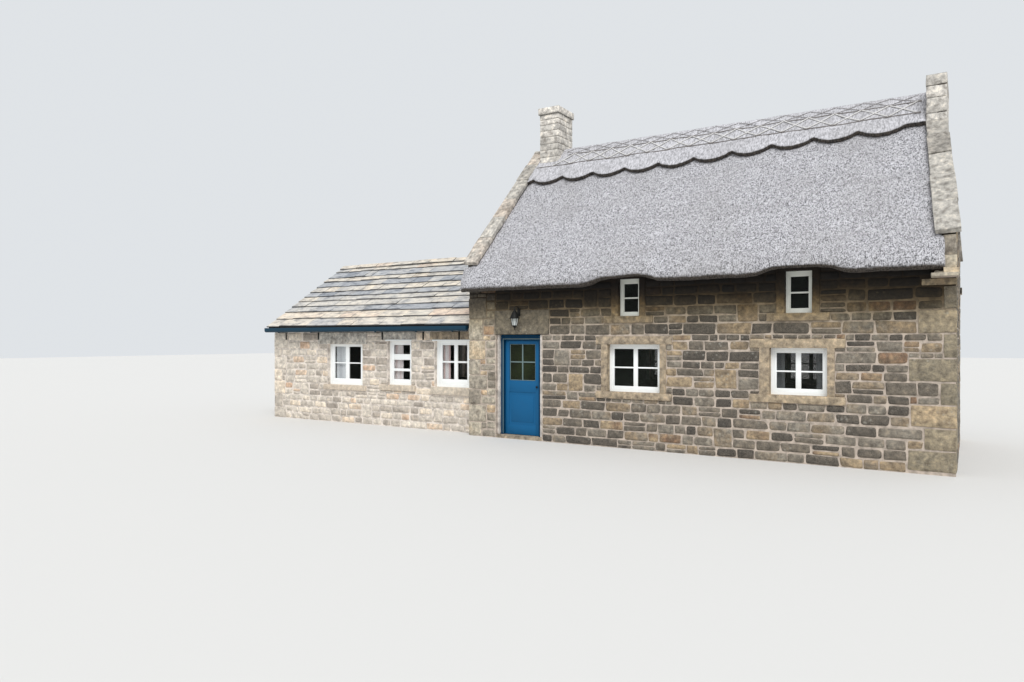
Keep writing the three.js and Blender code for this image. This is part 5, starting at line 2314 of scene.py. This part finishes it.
    def gables(self) -> None:
        """The two gables, up to their copings and the right-hand stack."""
        deep = HOUSE_DEPTH + LAP
        LaidWall(
            "right_gable_stones", (0, 0, 0), (0, 1, 0), -LAP, deep, self._beds(5.7, 12),
            lambda u: min(self._gable_top(u), self.STACK_FOOT),
            holes=self.front_right.holes("y", 1) + self.back_right.holes("y", 1), seed=13, lean=LEAN,
        ).build(self.kit, self.finishes.house_stone)
        pitch = 0.175
        hidden = []
        for k in range(27):
            y = ANNEX_FRONT + k * pitch
            hidden.append(Patch(-(y + pitch), -y, -0.1, annex_top(min(y + pitch / 2, HOUSE_DEPTH)) - 0.02))
        LaidWall(
            "left_gable_stones", (-HOUSE_LENGTH, 0, 0), (0, -1, 0), -deep, LAP, self._beds(6.4, 14),
            lambda u: self._gable_top(-u), holes=hidden + self.front_left.holes("y", -1), seed=15, lean=LEAN,
        ).build(self.kit, self.finishes.house_stone)

    def back(self) -> None:
        """The house's back, with lintels and sills over and under its windows."""
        trims = self._heads_and_sills(BACK_HOUSE)
        holes = [w.hole(-1) for w in BACK_HOUSE] + self._patches(trims, -1)
        holes += self.back_right.holes("x", -1) + self.back_left.holes("x", -1)
        LaidWall(
            "house_back_stones", (0, HOUSE_DEPTH, 0), (-1, 0, 0), -LAP, HOUSE_LENGTH + LAP, self.HOUSE_BEDS,
            self._wall_head, holes=holes, seed=17, shade=1.0,
        ).build(self.kit, self.finishes.house_stone)
        self._trims("house_back_trims", trims, HOUSE_DEPTH, Side.BACK, self.finishes.dressed, 69)

    def annex(self) -> None:
        """The annex's front, back and gable."""
        stone = self.finishes.annex_stone
        sills = [
            (-11.56, -10.48, 0.837, 0.967, 0.045), (-10.02, -8.776, 0.80, 0.967, 0.05),
            (-13.42, -12.0, 0.79, 0.914, 0.03),
        ]
        lintels = [(-13.62, -11.98, 1.908, 2.19, 0.02), (-11.52, -10.47, 2.02, 2.2, 0.02)]
        over_right = [(-10.06, -8.776, 2.02, 2.19, 0.018)]
        holes = [w.hole() for w in FRONT_ANNEX] + self._patches(sills + lintels + over_right)
        LaidWall(
            "annex_front_stones", (0, ANNEX_FRONT, 0), (1, 0, 0), ANNEX_LEFT - LAP, -HOUSE_LENGTH - 0.002,
            self.ANNEX_BEDS, self._annex_head, holes=holes + self.annex_front.holes("x", 1), seed=19,
            joint=self.ANNEX_JOINT,
        ).build(self.kit, stone)
        self._trims("annex_sills", sills, ANNEX_FRONT, Side.FRONT, self.finishes.annex_sill, 68)
        self._trims("annex_lintels", lintels, ANNEX_FRONT, Side.FRONT, self.finishes.coping, 70)
        self._trims("annex_right_lintel", over_right, ANNEX_FRONT, Side.FRONT, self.finishes.dressed, 71)
        LaidWall(
            "annex_gable_stones", (ANNEX_LEFT, 0, 0), (0, -1, 0), -ANNEX_BACK - LAP, -ANNEX_FRONT + LAP,
            self._beds(4.1, 20), lambda u: annex_top(-u) - 0.09, seed=21, joint=self.ANNEX_JOINT,
            holes=self.annex_front.holes("y", -1) + self.annex_back.holes("y", -1),
        ).build(self.kit, stone)
        trims = self._heads_and_sills(BACK_ANNEX)
        holes = [w.hole(-1) for w in BACK_ANNEX] + self._patches(trims, -1)
        holes += self.annex_back.holes("x", -1) + self.annex_return.holes("x", -1)
        LaidWall(
            "annex_back_stones", (0, ANNEX_BACK, 0), (-1, 0, 0), HOUSE_LENGTH - LAP, -ANNEX_LEFT + LAP,
            self.ANNEX_BEDS, self._annex_head, holes=holes, seed=23, joint=self.ANNEX_JOINT,
        ).build(self.kit, stone)
        self._trims("annex_back_trims", trims, ANNEX_BACK, Side.BACK, self.finishes.annex_sill, 72)

    def corners(self) -> None:
        """The corner stones of the house and the annex."""
        dice = random.Random(63)
        f = self.finishes
        for name, material, columns in (
            ("front_right_quoins", f.corner_stone, (self.front_right,)),
            ("front_left_quoins", f.pale_stone, (self.front_left,)),
            ("back_quoins", f.corner_stone, (self.back_right, self.back_left)),
            ("annex_quoins", f.annex_stone, (self.annex_front, self.annex_back, self.annex_return)),
        ):
            stones = [stone for column in columns for stone in column.lay(self.kit, dice)]
            finish_stones(stones, name, material, "gritstone", 0.016)

    def kneelers(self) -> None:
        """Corbelled stones under the right gable's parapet, over the CAD ones, at front and back."""
        dice = random.Random(61)
        stones = []
        for out, a, b, z0, z1 in self.KNEELERS:
            for side in Side:
                y0, y1 = side.span(-out - 0.004, 0.02, HOUSE_DEPTH / 2)
                low, high = spot(-b - 0.003, y0, z0), spot(-a + 0.003, y1, z1)
                stones.append(self.kit.box(Cut.HEWN, low, high, dice.uniform(0.2, 0.9), dice, 0.005))
        finish_stones(stones, "kneeler_stones", self.finishes.pale_stone, "gritstone", 0.01)

    def stacks(self) -> None:
        """The two chimney stacks."""
        left_beds = (6.05, 6.2, 6.36, 6.5, 6.66, 6.8, 6.94, 7.06, 7.18)
        left_cuts = ((0.6,), (0.42,))
        right_beds = (5.63, 5.86, 6.12, 6.325)
        right_cuts = ((0.24, 0.62), (0.36, 0.74))
        for stack in (
            Stack("left_stack_stones", (-8.2, -7.74), (2.02, 2.7), left_beds, 7.336, 0.035, left_cuts, 71),
            Stack(
                "right_stack_stones", (-0.447, -0.17), (1.722, 2.998), right_beds, 6.516, 0.012,
                right_cuts, 73,
            ),
        ):
            stack.build(self.kit, self.finishes)

    def build(self) -> None:
        """Lays everything."""
        self.front()
        self.gables()
        self.back()
        self.annex()
        self.corners()
        self.kneelers()
        self.stacks()


@dataclass
class HeadBoards:
    """White drip boards over two of the annex's windows."""

    spans: tuple[Pair, ...] = ((-11.375, -10.585), (-9.985, -8.89))  # left and right end of each
    foot: float = 1.986
    head: float = 2.019
    projection: float = 0.032  # how far they stand out of the wall

    def build(self, finishes: Finishes) -> None:
        """Makes the boards.

        Args:
            finishes: The materials.
        """
        near, far = ANNEX_FRONT - self.projection, ANNEX_FRONT + 0.085
        ends = [(spot(a, near, self.foot), spot(b, far, self.head)) for a, b in self.spans]
        boards = [Bench.block("board", low, high, 0.005) for low, high in ends]
        assemble(boards, "annex_head_boards", finishes.white, "white_paint")
        LOG.info("head boards: %d", len(boards))


@dataclass
class Curtain:
    """A pleated curtain inside a window, threaded on a rod between the reveals."""

    name: str
    x: Pair  # left and right edge as it hangs
    z: Pair
    reveals: Pair  # places of the reveals' faces, where the rod ends
    y: float  # distance of its middle from the front
    pleat: float = 0.075
    depth: float = 0.024
    printed: bool = False  # True for the rosy print, False for the grey net
    shared_rod: str = ""  # name of another curtain's rod that it hangs on, or nothing for one of its own

    ROD = 0.007
    ROWS = 5
    THICK = 0.0016

    def _pleated(self) -> Item:
        """A grid folded to and fro, rounded and gathered unevenly.

        Returns:
            The sheet, with no thickness yet.
        """
        (x0, x1), (z0, z1) = self.x, self.z
        folds = 2 * max(2, round((x1 - x0) / self.pleat))
        bpy.ops.object.select_all(action="DESELECT")
        bpy.ops.mesh.primitive_grid_add(
            x_subdivisions=folds, y_subdivisions=self.ROWS, size=1,
            location=spot((x0 + x1) / 2, self.y, (z0 + z1) / 2), rotation=(math.pi / 2, 0, 0),
        )
        bpy.context.object.scale = (x1 - x0, z1 - z0, 1)
        sheet = Bench.settle(bpy.context.object, self.name)
        step = (x1 - x0) / folds
        first = spot(x0, 0, 0).x

        def in_front(a: Vector, b: Vector) -> bool:
            """True for an upright edge on every second fold."""
            return abs(a.x - b.x) < step / 4 and round((a.x - first) / step) % 2 == 1

        Bench.select_edges(sheet, in_front)
        bpy.ops.transform.translate(value=(0, -self.depth, 0))
        bpy.ops.object.mode_set(mode="OBJECT")
        Bench.apply(sheet, "SUBSURF", levels=2, render_levels=2)
        gather = bpy.data.textures.new(f"{self.name}_gather", "CLOUDS")
        gather.noise_scale = 0.11
        Bench.apply(sheet, "DISPLACE", texture=gather, texture_coords="LOCAL", strength=0.02)
        return sheet

    def _rod(self, finishes: Finishes) -> Item:
        """The thin rod in the sheet's head.

        Args:
            finishes: The materials.

        Returns:
            The rod.
        """
        height = self.z[1] - self.ROD
        a, b = spot(self.reveals[0], self.y, height), spot(self.reveals[1], self.y, height)
        rod = Bench.rod(f"{self.name}_rod", a, b, self.ROD, 10)
        Bench.bevel(rod, 0.001, 1)
        return assemble([rod], rod.name, finishes.white, "white_paint")

    def build(self, finishes: Finishes) -> None:
        """Args:
            finishes: The materials.
        """
        sheet = self._pleated()
        long = self.z[1] - self.z[0]
        wide = sum(face.area for face in sheet.data.polygons) / long
        Bench.apply(sheet, "SOLIDIFY", thickness=self.THICK, offset=0.0)
        Bench.smooth(sheet, 60)
        dress(sheet, finishes.print if self.printed else finishes.net, None)
        rod = self.shared_rod or self._rod(finishes)
        LOG.info("%s: %.2f m of cloth hung %.2f m wide", self.name, wide, self.x[1] - self.x[0])


CURTAINS = (
    Curtain("annex_left_curtain", (-13.17, -12.72), (0.965, 1.87), (-13.285, -12.124), 0.475),
    Curtain("annex_middle_curtain", (-11.27, -10.99), (0.98, 1.93), (-11.326, -10.611), 0.475, printed=True),
    Curtain("annex_right_curtain", (-9.89, -9.62), (0.98, 1.94), (-9.931, -8.956), 0.475, printed=True),
    Curtain("lower_right_curtain", (-1.95, -1.79), (1.12, 1.86), (-2.647, -1.751), 0.21),
    Curtain(
        "lower_right_drape", (-2.62, -2.44), (1.12, 1.86), (0, 0), 0.21, shared_rod="lower_right_curtain_rod"
    ),
)


@dataclass
class GutterHooks:
    """Dark straps that hold the annex's gutters to its walls."""

    # Their places along the building, over the CAD ones
    places: tuple[float, ...] = (-14.784, -13.596, -11.47, -10.247, -9.239)
    foot: float = 2.012
    head: float = 2.186
    half: float = 0.0155  # half their width
    out: float = 0.034  # how far they stand out of the wall
    reach: float = 0.27  # distance of the arm's end from the wall

    def build(self, finishes: Finishes) -> None:
        """Makes the straps and their arms at the front and the back.

        Args:
            finishes: The materials.
        """
        parts = []
        for x in self.places:
            for side, wall in ((Side.FRONT, ANNEX_FRONT), (Side.BACK, ANNEX_BACK)):
                for outer, inner, foot, head in (
                    (self.out, 0.004, self.foot, self.head),
                    (self.reach, self.out - 0.006, self.head - 0.001, self.head + 0.012),
                ):
                    near, far = sorted((wall - side.value * outer, wall - side.value * inner))
                    low, high = spot(x - self.half, near, foot), spot(x + self.half, far, head)
                    parts.append(Bench.block("strap", low, high, 0.003))
        assemble(parts, "gutter_hooks", finishes.black, "black_iron")
        LOG.info("gutter hooks: %d", len(self.places) * 2)


class CadFinishes:
    """Gives the CAD nodes that stay in the picture their finishes."""

    def __init__(self, nodes: dict[str, Item], finishes: Finishes) -> None:
        """Keeps the nodes and the materials.

        Args:
            nodes: The CAD nodes by name.
            finishes: The materials.
        """
        self.nodes = nodes
        self.finishes = finishes

    def _pick(self, name: str) -> Material:
        """The finish of a node, by its name.

        Args:
            name: The node's name.

        Returns:
            The finish.
        """
        f = self.finishes
        if "glass" in name:
            if name.startswith("annex"):
                return f.annex_glass
            return f.door_glass if name == "door_glass" else f.glass
        if "window_frame" in name:
            return f.cream if "upper" in name else f.white
        table = (
            ("surround", f.dressed), ("lintel", f.dressed), ("threshold", f.doorstep), ("coping", f.coping),
            ("door_handle", f.black), ("lantern", f.black), ("door_frame", f.shaded_frame_blue), ("door_", f.blue),
            ("gutter", f.teal), ("thatch_ridge", f.ridge), ("thatch", f.thatch),
            ("annex_roof", f.painted_slate_shadow), ("annex_ridge", f.painted_slate_shadow), ("upper_floor", f.boards),
            ("floor", f.flags), ("annex", f.annex_mortar),
        )
        for part, material in table:
            if part in name:
                return material
        return f.house_mortar

    def build(self) -> None:
        """Assigns the finishes."""
        for name, node in self.nodes.items():
            node.data.materials.clear()
            node.data.materials.append(self._pick(name))
        LOG.info("finishes on %d nodes", len(self.nodes))


@dataclass
class Studio:
    """Pale floor, soft light and the camera of the photograph's view."""

    image_width: float = 1024.0
    focal_pixels: float = 724.55
    eye: Triple = (0.1575, -12.4687, 2.020)  # the camera's place, measured from the house's corner
    turn: float = 0.562449  # its turn from facing the front squarely
    pitch: float = -0.00205
    sky: float = 0.8  # strength of the even light
    sun: float = 2.4  # strength of the soft directed light

    def _camera(self) -> None:
        """Sets the camera at the photograph's place."""
        data = bpy.data.cameras.new("camera")
        data.sensor_width = 36.0
        data.lens = self.focal_pixels * data.sensor_width / self.image_width
        data.clip_end = 200.0
        item = Bench.link("camera", data)
        item.location = spot(*self.eye)
        item.rotation_euler = (math.pi / 2 + self.pitch, 0.0, self.turn)
        bpy.context.scene.camera = item

    def _floor(self) -> None:
        """A wide pale floor, level with the foot of the walls."""
        bpy.ops.object.select_all(action="DESELECT")
        bpy.ops.mesh.primitive_plane_add(size=160, location=(0, 0, 0))
        item = Bench.settle(bpy.context.object, "studio_floor")
        graph = Graph("studio_floor")
        item.data.materials.append(graph.finish(Base_Color=(0.62, 0.61, 0.59), Roughness=0.9))

    def _light(self) -> None:
        """A bright even sky and a soft sun through cloud."""
        world = bpy.data.worlds.new("studio")
        bpy.context.scene.world = world
        world.use_nodes = True
        background = world.node_tree.nodes["Background"]
        background.inputs["Color"].default_value = (0.93, 0.965, 1.0, 1.0)
        background.inputs["Strength"].default_value = self.sky
        sun = bpy.data.lights.new("soft_sun", "SUN")
        sun.energy = self.sun
        sun.angle = math.radians(35)
        item = Bench.link("soft_sun", sun)
        item.rotation_euler = (math.radians(36), math.radians(8), math.radians(20))
        bpy.context.scene.view_settings.view_transform = "Standard"

    def build(self) -> None:
        """Sets up the studio."""
        self._camera()
        self._floor()
        self._light()


def main() -> None:
    """Loads the frame and builds every piece in order."""
    logging.basicConfig(level=logging.INFO, format="%(name)s: %(message)s")
    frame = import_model()
    nodes = frame["nodes"]
    Studio().build()
    finishes = Finishes()
    CadFinishes(nodes, finishes).build()
    kit = StoneKit()
    Masonry(kit, finishes).build()
    SlateRoof().build(kit, finishes)
    Copings().build(kit, finishes)
    kit.put_away()
    Joinery(0.11, Side.FRONT, FRONT_HOUSE).build(finishes)
    Joinery(HOUSE_DEPTH - 0.11, Side.BACK, BACK_HOUSE).build(finishes)
    Joinery(ANNEX_FRONT + 0.08, Side.FRONT, FRONT_ANNEX).build(finishes)
    Joinery(ANNEX_BACK - 0.08, Side.BACK, BACK_ANNEX).build(finishes)
    HeadBoards().build(finishes)
    GutterHooks().build(finishes)
    for curtain in CURTAINS:
        curtain.build(finishes)
    Door().build(finishes)
    Lantern().build(finishes)
    Thatch().build(nodes, finishes)


if __name__ == "__main__":
    main()
